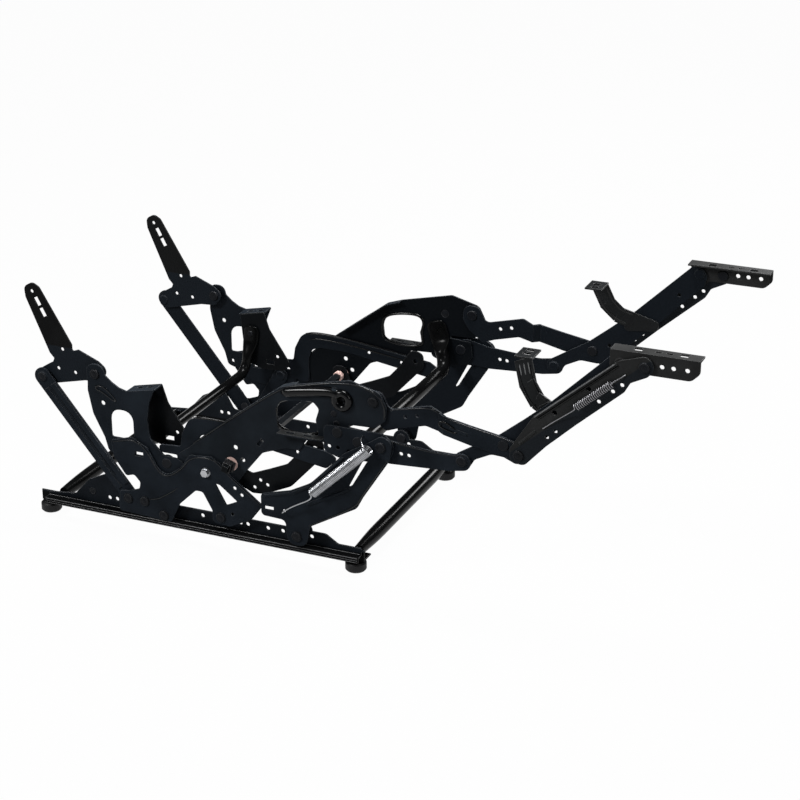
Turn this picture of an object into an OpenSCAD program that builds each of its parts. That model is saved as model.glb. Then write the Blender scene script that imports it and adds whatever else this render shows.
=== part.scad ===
// Recliner mechanism for a reclining chair, fully reclined with the footrest out.
// x runs forward to the footrest, y to the sitter's left, z up. Sizes in mm.

/* [Plates] */
// Thickness of the pressed steel plates
plate_t = 3; // [2.5:0.25:3.5]
// Air between two neighbouring plates that move past each other
link_gap = 2; // [1.75:0.25:2.5]
// Distance from the middle plane to the inner face of the seat plates
frame_half = 235.5; // [215:0.5:260]

/* [Pivots] */
// Radius of the pivot pins
pin_r = 5; // [4:0.5:6]
// Radius of the pivot heads
head_r = 10; // [9:0.5:11]
// Height of the heads that stand free
head_h = 2.5; // [2:0.25:3]

/* [Tubes and shaft] */
// Outside diameter of the base tubes and the front cross tube
tube_d = 25.4; // [22:0.2:26]
// Outside diameter of the rear cross tube
rear_tube_d = 20; // [18:0.5:22]
// Bend radius of the cross tubes at their centre line
bend_r = 28; // [26:1:32]
// Width across the square drive shaft
shaft_w = 12; // [10:0.5:13]
// Length of shaft that stands out on the handle side
handle_end = 26; // [16:1:40]

/* [Feet] */
// Diameter of the floor feet
foot_d = 39; // [34:1:42]
// Height of the floor feet
foot_h = 18; // [14:1:20]

/* [Springs] */
// Wire diameter of the assist springs
assist_wire = 4; // [3.4:0.1:4.2]
// Outside diameter of the assist springs
assist_d = 21; // [19:0.5:22]
// Wire diameter of the footrest springs
rest_wire = 2.4; // [2:0.1:2.6]
// Outside diameter of the footrest springs
rest_d = 11; // [10:0.25:12]

/* [Hidden] */
$fn = 48;
left = 1;
right = -1;
// air round a pin and between a link and a head
run_fit = 0.05;
run_gap = 0.3;
// floor under the feet and middle of the length, in the measured side view
floor_z = -28;
mid_x = 551.25;
// height of the heads that lie between two plates
low_h = link_gap - 0.6;
hole_r = 3.6;
slot_w = 9;

// inner faces of the plate layers, from the middle plane outward
pitch = plate_t + link_gap;
y_seat = frame_half;
y_beam = y_seat - plate_t;
y_inner = y_seat - pitch;
y_crank = y_beam - pitch;
y_back = y_crank - pitch;
y_mid = y_seat + pitch;
y_outer = y_mid + pitch;
y_swing = y_outer + pitch;

// pivots in the side view, [x, z]
base_front = [474, 36];
swing_top = [638, 238];
base_rear = [157.6, 42.5];
rear_top = [205, 125];
back_pivot = [62.8, 278.8];
back_low = [-52.8, 254.3];
control_base = [122.6, 42.5];
// the control link's lower end reaches this far behind its pivot
control_lean = 3;
link1_pivot = [618, 314];
link2_pivot = [593, 238];
link23 = [784, 234];
link13 = [859, 276];
link14 = [888, 265];
link3_end = [1056, 455];
link4_end = [1098, 456];
shaft_at = [338.5, 148.5];

// rail section and base tubes
rail_back = -62;
rail_front = 588;
rail_top = 36.5;
rail_end_top = 21;
rail_rear_top = 15;
flange_top = 8.5;
flange_low = flange_top - plate_t;
lip_low = -1.5;
lip_out = y_back + plate_t + 16;
tube_r = tube_d / 2;
tube_z = 10;
front_tube_x = 577;
rear_tube_x = -38;
foot_front_x = front_tube_x - 5;
foot_rear_x = rear_tube_x - 28;
foot_y = y_back - 8;
bracket_in = y_back - 30;
bracket_y = y_back - plate_t;
foot_rivets = [[197, 21], [316, 39]];
sleeve_r = 12;

// cross tubes: axis of the straight run and top of the flat ends
rear_cross = [145, 137];
rear_flat_top = [159, 236];
front_cross = [569, 203];
front_flat_top = [540, 292];
flat_t = 6;
// the straight stretches reach a little into the bends, and are that much thinner
lap = 1.2;
lap_step = 0.05;
rear_flat_w = 32;
front_flat_w = 40;
// seat tab of the rear plate: rear corner, length, width and rise
tab_at = [127, 255];
tab_l = 59;
tab_w = 28;
tab_rise = 11.7;
tab_end = tab_at + tab_l * [cos(tab_rise), sin(tab_rise)];
y_saddle = y_seat - tab_w - plate_t;

// lower edge of the seat plate's window, its pressed bead and the boss round its hole
window_low = 233;
bead_r = 8;
bead_sink = 0.5;
boss_at = [560, 308];
boss_r = 13.5;
boss_h = 5;

// footrest bracket
bracket_top = 478;
bracket_back = 1038;
bracket_front = 1188;

corner_steps = 5;

function unit(v) = v / norm(v);
function turn(a, b) = a[0] * b[1] - a[1] * b[0];
function flat(p) = [p[0], p[1]];
// points of the arc that rounds the corner b between a and c
function corner(a, b, c) =
    let(u = unit(flat(a) - flat(b)), v = unit(flat(c) - flat(b)))
    let(open = acos(u * v), r = b[2])
    let(mid = flat(b) + unit(u + v) * r / sin(open / 2))
    let(start = flat(b) + u * r / tan(open / 2) - mid)
    let(first = atan2(start[1], start[0]), way = sign(turn(-u, v)))
    [for (k = [0:corner_steps])
        let(t = first + way * (180 - open) * k / corner_steps)
        mid + r * [cos(t), sin(t)]];
function rounded(pts) =
    let(n = len(pts))
    [for (i = [0:n - 1]) each corner(pts[(i + n - 1) % n], pts[i], pts[(i + 1) % n])];
// open path with its inner corners rounded
function bent(pts) =
    let(n = len(pts))
    concat([flat(pts[0])],
           [for (i = [1:1:n - 2]) each corner(pts[i - 1], pts[i], pts[i + 1])],
           [flat(pts[n - 1])]);
// the same path moved sideways by d, to the right of its direction
function beside(path, d) =
    let(n = len(path))
    [for (i = [0:n - 1])
        let(a = unit(path[min(i + 1, n - 1)] - path[max(i - 1, 0)]))
        path[i] + d * [a[1], -a[0]]];
function reversed(v) = [for (i = [len(v) - 1:-1:0]) v[i]];

module on_side(side) {
    translate([-mid_x, 0, -floor_z])
        if (side == left) children();
        else mirror([0, 1, 0]) children();
}

module both_sides() {
    on_side(left) children();
    on_side(right) children();
}

// a flat plate whose inner face lies at y
module plate(pts, y, t = plate_t) {
    translate([0, y + t, 0])
        rotate([90, 0, 0])
            linear_extrude(t)
                polygon(rounded(pts));
}

// a round along y from y0 to y1
module round_y(p, y0, y1, r) {
    translate([p[0], y1, p[1]])
        rotate([90, 0, 0])
            cylinder(h = y1 - y0, r = r);
}

module hole(p, y, r = hole_r) {
    round_y(p, y - 1, y + plate_t + 1, r);
}

module pin_hole(p, y) {
    hole(p, y, pin_r + run_fit);
}

// a slot of length l and width w, turned by angle
module slot(p, y, l, w, angle = 0) {
    translate([p[0], y - 1, p[1]])
        rotate([0, -angle, 0])
            translate([-l / 2, 0, -w / 2])
                cube([l, plate_t + 2, w]);
}

module head_out(p, y, h = head_h, r = head_r) {
    translate([p[0], y, p[1]])
        rotate([-90, 0, 0])
            cylinder(h = h, r1 = r, r2 = r - 1.2);
}

module head_in(p, y, h = head_h, r = head_r) {
    translate([p[0], y, p[1]])
        rotate([90, 0, 0])
            cylinder(h = h, r1 = r, r2 = r - 1.2);
}

// a folded edge that follows a path, between y0 and y1
module flange(pts, y0, y1) {
    path = bent(pts);
    translate([0, y1, 0])
        rotate([90, 0, 0])
            linear_extrude(y1 - y0)
                polygon(concat(path, reversed(beside(path, plate_t))));
}

// a raised rib between two points on the outer face at y
module rib(a, b, y, r = 3) {
    run = b - a;
    angle = atan2(run[1], run[0]);
    difference() {
        translate([a[0], y, a[1]])
            rotate([0, 90 - angle, 0]) {
                cylinder(h = norm(run), r = r);
                sphere(r = r);
                translate([0, 0, norm(run)]) sphere(r = r);
            }
        translate([a[0] - norm(run) - 9, y - 9, a[1] - norm(run) - 9])
            cube([2 * norm(run) + 18, 9 - plate_t / 2, 2 * norm(run) + 18]);
    }
}

// a strap from a to b with round ends, inner face at y
module strap(a, b, w, y) {
    run = b - a;
    angle = atan2(run[1], run[0]);
    translate([0, y + plate_t, 0])
        rotate([90, 0, 0])
            linear_extrude(plate_t)
                polygon([for (t = [90:15:450])
                    (t <= 270 ? a : b) + w / 2 * [cos(angle + t), sin(angle + t)]]);
}

// base

module rail(side) {
    color([0.07, 0.07, 0.08])
        on_side(side)
            difference() {
                union() {
                    plate([[rail_back, flange_low, 0.5], [rail_front, flange_low, 0.5],
                           [rail_front, rail_end_top, 3], [542, rail_end_top, 10],
                           [518, rail_top, 12], [100, rail_top, 8], [82, 70, 6], [66, 74, 6], [28, 56, 8],
                           [-4, rail_end_top, 10], [rail_back, rail_rear_top, 3]], y_back);
                    translate([rail_back, y_back, flange_low])
                        cube([rail_front - rail_back, lip_out - y_back, plate_t]);
                    translate([rail_back, lip_out - plate_t, lip_low])
                        cube([rail_front - rail_back, plate_t, flange_top - lip_low]);
                    round_y(base_front, y_back, y_back + plate_t, 17);
                    round_y(foot_rivets[1], y_back, y_back + plate_t, 17);
                }
                for (x = [71, 87, 268, 346, 361, 402, 432, 490])
                    hole([x, 26], y_back, 4);
                hole(base_front, y_back, pin_r + run_fit);
                for (p = foot_rivets) hole(p, y_back, pin_r + run_fit);
            }
}

module base_upright(side) {
    color([0.07, 0.07, 0.08])
        on_side(side)
            difference() {
                plate([[102, 14, 6], [212, 10, 8], [231, 50, 8], [266, 84, 8], [280, 84, 8],
                       [299, 50, 10], [299, 26, 10], [334, 24, 10], [378, 46, 6],
                       [402, 78, 6], [337, 128, 8], [318, 147, 8], [300, 157, 8],
                       [256, 153, 10], [236, 124, 14], [205, 102, 18], [188, 116, 14],
                       [168, 152, 10], [138, 168, 8], [92, 155, 6], [97, 122, 6],
                       [121, 88, 6], [138, 93, 6], [150, 80, 6], [148, 66, 8], [126, 58, 8],
                       [106, 56, 6]], y_mid);
                plate([[306, 106, 2], [316, 104, 2], [351, 77, 2], [328, 66, 2]],
                      y_mid - 1, plate_t + 2);
                slot([150, 136], y_mid, 18, slot_w);
                for (p = [[346, 103], [360, 91.5], [340, 50], [120, 78]]) hole(p, y_mid);
                for (p = foot_rivets) pin_hole(p, y_mid);
                pin_hole(base_rear, y_mid);
                pin_hole(control_base, y_mid);
                hole([288, 124], y_mid, 4.05);
            }
}

module upright_sleeves() {
    color([0.09, 0.09, 0.1])
        both_sides()
            for (p = foot_rivets)
                difference() {
                    round_y(p, y_back + plate_t, y_mid, sleeve_r);
                    round_y(p, y_back, y_mid + 1, pin_r + run_fit);
                }
}

module base_tube(x) {
    translate([-mid_x, 0, -floor_z])
        difference() {
            round_y([x, tube_z], -bracket_y, bracket_y, tube_r);
            round_y([x, tube_z], -bracket_y - 1, bracket_y + 1, tube_r - 2);
        }
}

module front_base_tube() {
    color([0.04, 0.04, 0.05]) base_tube(front_tube_x);
}

module rear_base_tube() {
    color([0.04, 0.04, 0.05]) base_tube(rear_tube_x);
}

// angle that joins a rail end to a base tube and a foot
module foot_bracket(tube_x, foot_x) {
    low = tube_z - tube_r - plate_t;
    x0 = min(tube_x - tube_r - 2, foot_x - 14);
    x1 = max(tube_x + tube_r + 2, foot_x + 14);
    translate([x0, bracket_in, low])
        cube([x1 - x0, y_back - bracket_in, plate_t]);
    translate([x0, bracket_y, low])
        cube([x1 - x0, plate_t, tube_z + 5 - low]);
}

module foot_brackets() {
    color([0.08, 0.08, 0.09])
        both_sides() {
            foot_bracket(front_tube_x, foot_front_x);
            foot_bracket(rear_tube_x, foot_rear_x);
        }
}

module floor_feet() {
    stem_top = tube_z - tube_r - plate_t;
    color([0.03, 0.03, 0.03])
        both_sides()
            for (x = [foot_front_x, foot_rear_x])
                translate([x, foot_y, floor_z]) {
                    cylinder(h = 3, d1 = foot_d - 5, d2 = foot_d);
                    translate([0, 0, 3]) cylinder(h = foot_h - 6, d = foot_d);
                    translate([0, 0, foot_h - 3]) cylinder(h = 3, d1 = foot_d, d2 = foot_d - 5);
                    translate([0, 0, foot_h]) cylinder(h = stem_top - floor_z - foot_h, r = 8);
                }
}

// stud that stands on p in a plate, with a shoulder and a pin through a link
module stud_out(p, from, link_y) {
    round_y(p, from, link_y - run_gap, pin_r + 4);
    round_y(p, link_y - run_gap, link_y + plate_t + run_gap, pin_r);
    head_out(p, link_y + plate_t + run_gap);
}

module stud_in(p, from, link_y) {
    round_y(p, link_y + plate_t + run_gap, from, pin_r + 4);
    round_y(p, link_y - run_gap, link_y + plate_t + run_gap, pin_r);
    head_in(p, link_y - run_gap);
}

module base_pivots() {
    color([0.12, 0.12, 0.13])
        both_sides() {
            stud_out(base_front, y_back + plate_t, y_swing);
            round_y(base_front, y_back, y_back + plate_t, pin_r);
            head_in(base_front, y_back);
            for (p = [base_rear, control_base]) {
                stud_in(p, y_mid, y_inner);
                round_y(p, y_mid, y_mid + plate_t, pin_r);
                head_out(p, y_mid + plate_t);
            }
            for (p = foot_rivets) {
                round_y(p, y_back, y_mid + plate_t, pin_r);
                head_in(p, y_back);
                head_out(p, y_mid + plate_t);
            }
        }
}

module upright_bolts() {
    color([0.75, 0.74, 0.72])
        both_sides() {
            round_y([288, 124], y_mid, y_mid + plate_t, 4);
            head_out([288, 124], y_mid + plate_t, 2, 9.5);
            translate([288, y_mid + plate_t + 2, 124])
                rotate([-90, 0, 0])
                    cylinder(h = 5, r = 7.5, $fn = 6);
        }
}

// seat carriage

module seat_plate(side) {
    color([0.07, 0.07, 0.08])
        on_side(side)
            difference() {
                union() {
                    plate([[227, 147, 3], [270, 144, 6], [277, 108, 8], [345, 106, 12],
                           [366, 136, 10], [402, 181, 20], [448, 198, 20], [474, 198, 6],
                           [490, 221, 6], [534, 223, 6], [548, 207, 8], [566, 202, 10],
                           [606, 208, 14], [618, 226, 10], [614, 256, 4], [572, 259, 1.5],
                           [572, 264, 1.5], [622, 266, 8], [641, 282, 10], [643, 306, 16],
                           [630, 332, 16], [574, 347, 14], [470, 323, 20], [440, 313, 20],
                           [330, 231, 40], [253, 166, 40]], y_seat);
                    flange([[345, 242.2, 1], [440, 313, 20], [468, 322.4, 1]],
                           y_seat - 14, y_seat);
                    translate([440, y_seat, window_low - plate_t])
                        cube([70, plate_t + 18, plate_t]);
                    seat_bead();
                }
                plate([[434, window_low, 4], [514, window_low, 4], [508, 262, 8], [515, 284, 8],
                       [502, 297, 8], [440, 288, 8], [430, 270, 8]], y_seat - 1, plate_t + 2);
                for (x = [454, 488])
                    translate([x, y_seat + plate_t + 5, window_low - plate_t - 1])
                        cube([16, 7, plate_t + 2]);
                for (p = [[348, 182], [362, 160]]) hole(p, y_seat, 4.5);
                slot([398, 200], y_seat, 16, 7, 50);
                hole(boss_at, y_seat, boss_r - boss_h - 1);
                round_y(shaft_at, y_seat - 1, y_seat + plate_t + 1, shaft_w + 1 + run_fit);
                pin_hole(link1_pivot, y_seat);
                pin_hole(link2_pivot, y_seat);
            }
}

// pressed bead along the top of the seat plate that curls round a hole
module seat_bead() {
    rib([455, 307], [546, 322], y_seat + plate_t, bead_r);
    translate([boss_at[0], y_seat + plate_t, boss_at[1]])
        rotate([-90, 0, 0])
            rotate_extrude(angle = 360)
                polygon([for (t = [0:30:180]) [boss_r + boss_h * cos(t), boss_h * sin(t) - bead_sink]]);
}

module rear_plate(side) {
    color([0.07, 0.07, 0.08])
        on_side(side)
            difference() {
                union() {
                    plate([[47, 262, 10], [46, 245, 20], [55, 200, 30], [77, 156, 12],
                           [84, 130, 10], [104, 124, 10], [140, 100, 16], [196, 96, 20],
                           [232, 108, 12], [242, 132, 6], [226, 139, 8], [200, 140, 12],
                           [171, 170, 16], [168, 205, 20], [174, 240, 6],
                           [tab_end[0], tab_end[1], 2], [tab_at[0], tab_at[1], 2],
                           [112, 259, 10], [97, 268, 8], [83, 280, 8], [80, 298, 16], [44, 298, 16]],
                          y_seat);
                    translate([tab_at[0], 0, tab_at[1]])
                        rotate([0, -tab_rise, 0])
                            translate([0, y_seat - tab_w, -plate_t])
                                cube([tab_l, tab_w, plate_t]);
                }
                plate([[92, 160, 4], [139, 160, 4], [139, 216, 20], [92, 216, 20]],
                      y_seat - 1, plate_t + 2);
                hole([77, 224], y_seat, 4.5);
                hole([95, 139], y_seat);
                slot([150, 136], y_seat, 18, slot_w);
                for (x = [14, 36])
                    translate([tab_at[0], 0, tab_at[1]])
                        rotate([0, -tab_rise, 0])
                            translate([x, y_seat - 19, -plate_t - 1])
                                cube([12, 8, plate_t + 2]);
                pin_hole(back_pivot, y_seat);
            }
}

// plate that hangs from the inner edge of the seat tab and carries the rear cross tube
module rear_saddle(side) {
    color([0.07, 0.07, 0.08])
        on_side(side)
            difference() {
                plate([[tab_at[0] + 4, tab_at[1], 2], [136, 206, 20], [142, 158, 12], [176, 146, 12],
                       [228, 148, 10], [240, 164, 8], [195, 232, 14],
                       [tab_end[0] - 1, tab_end[1] - 0.5, 2]], y_saddle);
                hole([212, 176], y_saddle);
                slot([196, 162], y_saddle, 18, slot_w);
            }
}

module side_beam(side) {
    color([0.07, 0.07, 0.08])
        on_side(side)
            difference() {
                union() {
                    plate([[226, 126, 6], [268, 118, 8], [268, 172, 12], [276, 192, 12],
                           [296, 198, 14], [356, 197, 30], [526, 171, 8], [548, 192, 6],
                           [530, 203, 6], [360, 224, 20], [292, 228, 16], [254, 222, 24],
                           [238, 190, 20], [234, 163, 6], [189, 160, 6], [190, 145, 5],
                           [226, 145, 3]], y_beam);
                    flange([[300, 227.5, 1], [360, 224, 20], [524, 203.7, 1]],
                           y_crank + plate_t + run_gap, y_beam);
                }
                hole([400, 204], y_beam);
                hole([470, 193], y_beam);
            }
}

module front_cheek(side) {
    color([0.07, 0.07, 0.08])
        on_side(side)
            difference() {
                plate([[528, 262, 10], [528, 212, 10], [556, 203, 12], [616, 205, 14],
                       [656, 216, 20], [662, 246, 18], [640, 262, 14]], y_outer);
                for (p = [[538, 222], [555, 222], [575, 218]]) hole(p, y_outer);
                pin_hole([554, 250], y_outer);
                pin_hole(link2_pivot, y_outer);
                pin_hole(swing_top, y_outer);
            }
}

// tube along y that bends up at both ends into flat ends against the face at wall
module cross_tube(low, top, wall, d, flat_w) {
    rise = top - low;
    lean = atan2(rise[0], rise[1]);
    riser_y = wall - d / 2 - 0.5;
    flat_low = norm(rise) - flat_w - 14;
    turn_y = riser_y - bend_r;
    translate([-mid_x, 0, -floor_z]) {
        round_y(low, -turn_y - lap, turn_y + lap, d / 2 - lap_step);
        for (side = [left, right])
            mirror([0, side == left ? 0 : 1, 0])
                translate([low[0], 0, low[1]])
                    rotate([0, lean, 0]) {
                        translate([0, turn_y, bend_r])
                            rotate([0, 90, 0])
                                rotate_extrude(angle = 90)
                                    translate([bend_r, 0]) circle(d = d);
                        translate([0, riser_y, bend_r - lap])
                            cylinder(h = norm(rise) - bend_r - flat_w + lap, r = d / 2 - lap_step);
                        plate([[-flat_w / 2, flat_low, 4], [flat_w / 2, flat_low, 4],
                               [flat_w / 2, norm(rise), flat_w * 0.45],
                               [-flat_w / 2, norm(rise), flat_w * 0.45]],
                              wall - flat_t, flat_t);
                    }
    }
}

module rear_cross_tube() {
    color([0.03, 0.03, 0.04]) cross_tube(rear_cross, rear_flat_top, y_saddle, rear_tube_d,
                                        rear_flat_w);
}

module front_cross_tube() {
    color([0.03, 0.03, 0.04]) cross_tube(front_cross, front_flat_top, y_seat, tube_d, front_flat_w);
}

module carriage_rivets() {
    color([0.12, 0.12, 0.13])
        both_sides() {
            // front pivots of the footrest links
            round_y(link1_pivot, y_inner + plate_t + run_gap, y_seat, pin_r + 4);
            round_y(link1_pivot, y_inner - run_gap, y_seat + plate_t, pin_r);
            head_in(link1_pivot, y_inner - run_gap);
            head_out(link1_pivot, y_seat + plate_t);
            round_y(link2_pivot, y_seat, y_outer + plate_t, pin_r);
            head_in(link2_pivot, y_seat, low_h);
            head_out(link2_pivot, y_outer + plate_t, low_h);
            // spacer between seat plate and cheek, and the swing link's pin
            round_y([554, 250], y_seat + plate_t, y_outer, 9);
            round_y([554, 250], y_outer, y_outer + plate_t, pin_r);
            head_out([554, 250], y_outer + plate_t, low_h);
            round_y(swing_top, y_outer, y_swing + plate_t + run_gap, pin_r);
            head_in(swing_top, y_outer, low_h);
            head_out(swing_top, y_swing + plate_t + run_gap);
            // back pivot and the head of the rear swing link's pivot
            stud_in(back_pivot, y_seat, y_back);
            round_y(back_pivot, y_seat, y_seat + plate_t, pin_r);
            head_out(back_pivot, y_seat + plate_t);
            head_out(rear_top, y_seat + plate_t, low_h);
            // fixings of the cross tubes
            head_in([156, 220], y_saddle - flat_t, head_h, 6);
            for (p = [[548, 262], [543, 280]]) head_out(p, y_seat + plate_t, low_h, 6);
        }
}

// drive shaft

module drive_shaft() {
    color([0.1, 0.1, 0.11])
        translate([shaft_at[0] - mid_x, -y_mid - handle_end, shaft_at[1] - floor_z])
            rotate([0, 18, 0])
                translate([-shaft_w / 2, 0, -shaft_w / 2])
                    cube([shaft_w, 2 * y_mid + handle_end + 8, shaft_w]);
}

module shaft_bushings() {
    color([0.85, 0.8, 0.78])
        both_sides()
            difference() {
                union() {
                    round_y(shaft_at, y_seat - 4.5, y_seat, shaft_w + 4);
                    round_y(shaft_at, y_seat, y_seat + plate_t + 0.9, shaft_w + 1);
                }
                square_hole(y_seat - 6, 12);
            }
}

module square_hole(y, l) {
    translate([shaft_at[0], y, shaft_at[1]])
        rotate([0, 18, 0])
            translate([-shaft_w / 2 - 0.05, 0, -shaft_w / 2 - 0.05])
                cube([shaft_w + 0.1, l, shaft_w + 0.1]);
}

module drive_crank(side) {
    color([0.07, 0.07, 0.08])
        on_side(side)
            difference() {
                plate([[322, 132, 12], [350, 106, 12], [376, 94, 14], [400, 96, 20],
                       [454, 121, 30], [500, 171, 12], [519, 192, 12], [518, 220, 13],
                       [494, 226, 13], [468, 188, 12], [446, 163, 16], [410, 147, 16],
                       [376, 133, 8], [362, 138, 6], [350, 168, 10], [324, 168, 12]], y_crank);
                square_hole(y_crank - 1, plate_t + 2);
                for (p = [[380, 106], [392, 122], [406, 115]]) hole(p, y_crank);
                hole([502, 203], y_crank, pin_r);
            }
}

// swing links

module front_swing_link(side) {
    color([0.07, 0.07, 0.08])
        on_side(side)
            difference() {
                union() {
                    plate([[404, 66, 8], [452, 64, 10], [456, 18, 16], [492, 18, 16],
                           [500, 60, 14], [592, 113, 16], [604, 136, 14], [655, 216, 14],
                           [660, 250, 16], [640, 260, 14], [612, 241, 20], [570, 216, 30],
                           [502, 145, 60], [462, 124, 30], [404, 108, 8]], y_swing);
                    rib([498, 104], [576, 147], y_swing + plate_t, 3);
                    rib([412, 105], [460, 118], y_swing + plate_t, 2.4);
                    rib([468, 121], [500, 138], y_swing + plate_t, 2.4);
                    rib([508, 144], [566, 205], y_swing + plate_t, 2.4);
                }
                plate([[576, 151, 1], [584, 157, 1], [615, 211, 1], [605, 208, 1]],
                      y_swing - 1, plate_t + 2);
                slot([420, 82], y_swing, 18, 7);
                hole([450, 82], y_swing, 3);
                pin_hole(base_front, y_swing);
                pin_hole(swing_top, y_swing);
            }
}

module rear_swing_link(side) {
    color([0.07, 0.07, 0.08])
        on_side(side)
            difference() {
                union() {
                    strap(base_rear, rear_top, 30, y_inner);
                    round_y(rear_top, y_inner + plate_t, y_seat - 0.4, pin_r + 4);
                    head_in(rear_top, y_inner);
                }
                pin_hole(base_rear, y_inner);
            }
}

// back

module back_bracket(side) {
    color([0.07, 0.07, 0.08])
        on_side(side)
            difference() {
                union() {
                    plate([[-46, 238, 10], [34, 257, 12], [66, 259, 14], [84, 282, 14],
                           [64, 298, 8], [22, 315, 4], [9, 310, 3], [9, 323, 3],
                           [-53, 426, 10], [-67, 434, 12], [-85, 424, 12], [-83, 404, 6],
                           [-39, 301, 3], [-30, 291, 3], [-33, 284, 4], [-45, 277, 4],
                           [-64, 265, 13], [-62, 242, 13]], y_back);
                    head_in(back_low, y_back);
                }
                hole([-68.6, 416.3], y_back);
                slot([-58, 398], y_back, 17, slot_w, 118);
                slot([-48, 378], y_back, 17, slot_w, 118);
                for (p = [[-11.4, 311.3], [-22.4, 272.5], [13.3, 269]]) hole(p, y_back);
                pin_hole(back_pivot, y_back);
            }
}

module back_control_link(side) {
    run = control_base - back_low;
    angle = atan2(run[1], run[0]);
    color([0.07, 0.07, 0.08])
        on_side(side)
            difference() {
                union() {
                    strap(back_low, control_base - [control_lean, 0], 34, y_inner);
                    translate([back_low[0], y_inner + plate_t / 2, back_low[1]])
                        rotate([0, -angle, 0])
                            for (z = [-14, 4])
                                translate([22, 0, z])
                                    cube([norm(run) - 46, plate_t / 2 + 2.2, 10]);
                    round_y(back_low, y_back + plate_t + 0.4, y_inner, pin_r + 5);
                    head_out(back_low, y_inner + plate_t);
                }
                pin_hole(control_base, y_inner);
            }
}

// footrest linkage

module front_ottoman_link(side) {
    color([0.07, 0.07, 0.08])
        on_side(side)
            difference() {
                union() {
                    plate([[602, 334, 14], [632, 332, 14], [646, 303, 12], [722, 322, 10],
                           [742, 312, 1], [742, 277, 1], [714, 284, 14], [664, 271, 14],
                           [640, 262, 8], [612, 284, 12], [599, 304, 12]], y_inner);
                    joggle(740, 752, 277.5, 311.5);
                    plate([[750, 277.5, 1], [800, 266, 20], [858, 256, 14], [882, 246, 12],
                           [908, 254, 15], [904, 280, 14], [852, 293, 12], [800, 302, 20],
                           [750, 311.5, 1]], y_mid);
                    rib([764, 291], [792, 285], y_mid + plate_t, 2.4);
                }
                hole([676, 294.6], y_inner);
                hole([698.3, 299.7], y_inner);
                pin_hole(link1_pivot, y_inner);
                pin_hole(link13, y_mid);
                pin_hole(link14, y_mid);
            }
}

// sloping stretch between the inner and the middle layer
module joggle(x0, x1, z0, z1) {
    translate([0, 0, z0])
        linear_extrude(z1 - z0)
            polygon([[x0 - 2, y_inner], [x0 + 2, y_inner], [x1 + 2, y_mid],
                     [x1 + 2, y_mid + plate_t], [x1 - 2, y_mid + plate_t],
                     [x0 - 2, y_inner + plate_t]]);
}

module rear_ottoman_link(side) {
    color([0.07, 0.07, 0.08])
        on_side(side)
            difference() {
                union() {
                    plate([[574, 246, 16], [578, 220, 16], [612, 210, 14], [652, 206, 20],
                           [760, 212, 30], [800, 219, 14.5], [800, 250, 14.5], [752, 242, 30],
                           [650, 250, 30], [602, 260, 18]], y_mid);
                    round_y(link23, y_seat + plate_t + 0.4, y_mid, pin_r + 4);
                    head_out(link23, y_mid + plate_t);
                }
                hole([672.3, 228.2], y_mid);
                hole([686.8, 227.4], y_mid);
                pin_hole(link2_pivot, y_mid);
            }
}

module upper_ottoman_link(side) {
    color([0.07, 0.07, 0.08])
        on_side(side)
            difference() {
                union() {
                    plate([[768, 242, 12], [774, 219, 12], [795, 220, 10], [806, 239, 14],
                           [836, 254, 20], [872, 252, 14], [908, 278, 20], [985, 350, 20],
                           [1066, 434, 14], [1070, 452, 10], [1060, 469, 9], [1042, 468, 9],
                           [940, 368, 20], [892, 327, 20], [850, 293, 20], [800, 262, 20]],
                          y_seat);
                    round_y(link3_end, y_seat + plate_t, y_mid - 0.4, pin_r + 4);
                    head_in(link3_end, y_seat);
                    head_in(link23, y_seat);
                }
                pin_hole(link13, y_seat);
                for (p = [[892, 292], [1020, 410]]) hole(p, y_seat);
            }
}

module lower_ottoman_link(side) {
    color([0.07, 0.07, 0.08])
        on_side(side)
            difference() {
                union() {
                    plate([[872, 276, 14], [872, 252, 12], [898, 248, 14], [936, 290, 14],
                           [985, 336, 20], [1066, 408, 10], [1076, 426, 8], [1104, 440, 14],
                           [1118, 458, 14], [1100, 475, 14], [1054, 461, 20], [912, 340, 20]],
                          y_outer);
                    flange([[914, 341.7, 1], [1050, 457.6, 1]], y_outer + plate_t,
                           y_outer + plate_t + 5);
                    rib([890, 288], [916, 314], y_outer + plate_t, 2.4);
                }
                for (p = [[937, 307], [951.5, 320], [1024, 385], [1047, 406.5], [1062, 420]])
                    hole(p, y_outer);
                for (p = [[949, 353], [1006, 404]]) hole(p, y_outer, 4.5);
                pin_hole(link14, y_outer);
                pin_hole(link4_end, y_outer);
            }
}

// a straight stretch of a bent strap between two points in space
module band(a, b, w) {
    run = b - a;
    flat_run = norm([run[0], run[2]]);
    translate(a)
        rotate([0, -atan2(run[2], run[0]), 0])
            rotate([0, 0, atan2(run[1], flat_run)])
                translate([-3, 0, -w / 2])
                    cube([norm(run) + 6, plate_t, w]);
}

arm_w = 32;
arm_top = 426;
arm_x = 878;
arm_y = y_beam - 27;
arm_path = [[934, y_beam - 1, 350], [911, y_beam - 8, 359], [891, y_beam - 17, 382],
            [arm_x, arm_y - 1, arm_top - 8]];

module mid_ottoman_arm(side) {
    color([0.07, 0.07, 0.08])
        on_side(side)
            difference() {
                union() {
                    plate([[984, 334, 10], [986, 352, 8], [934, 366, 10], [914, 352, 8],
                           [922, 327, 8]], y_beam);
                    for (i = [0:2]) band(arm_path[i], arm_path[i + 1], arm_w);
                    translate([arm_x - arm_w / 2, arm_y - 42, arm_top - plate_t])
                        cube([arm_w, 44, plate_t]);
                    for (x = [-7, 4])
                        translate([arm_x + x, arm_y - 14, arm_top - plate_t - 10])
                            cube([plate_t, 14, 10]);
                }
                for (y = [arm_y - 36, arm_y - 20])
                    translate([arm_x - 7, y, arm_top - plate_t - 1])
                        cube([14, 8, plate_t + 2]);
            }
}

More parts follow.
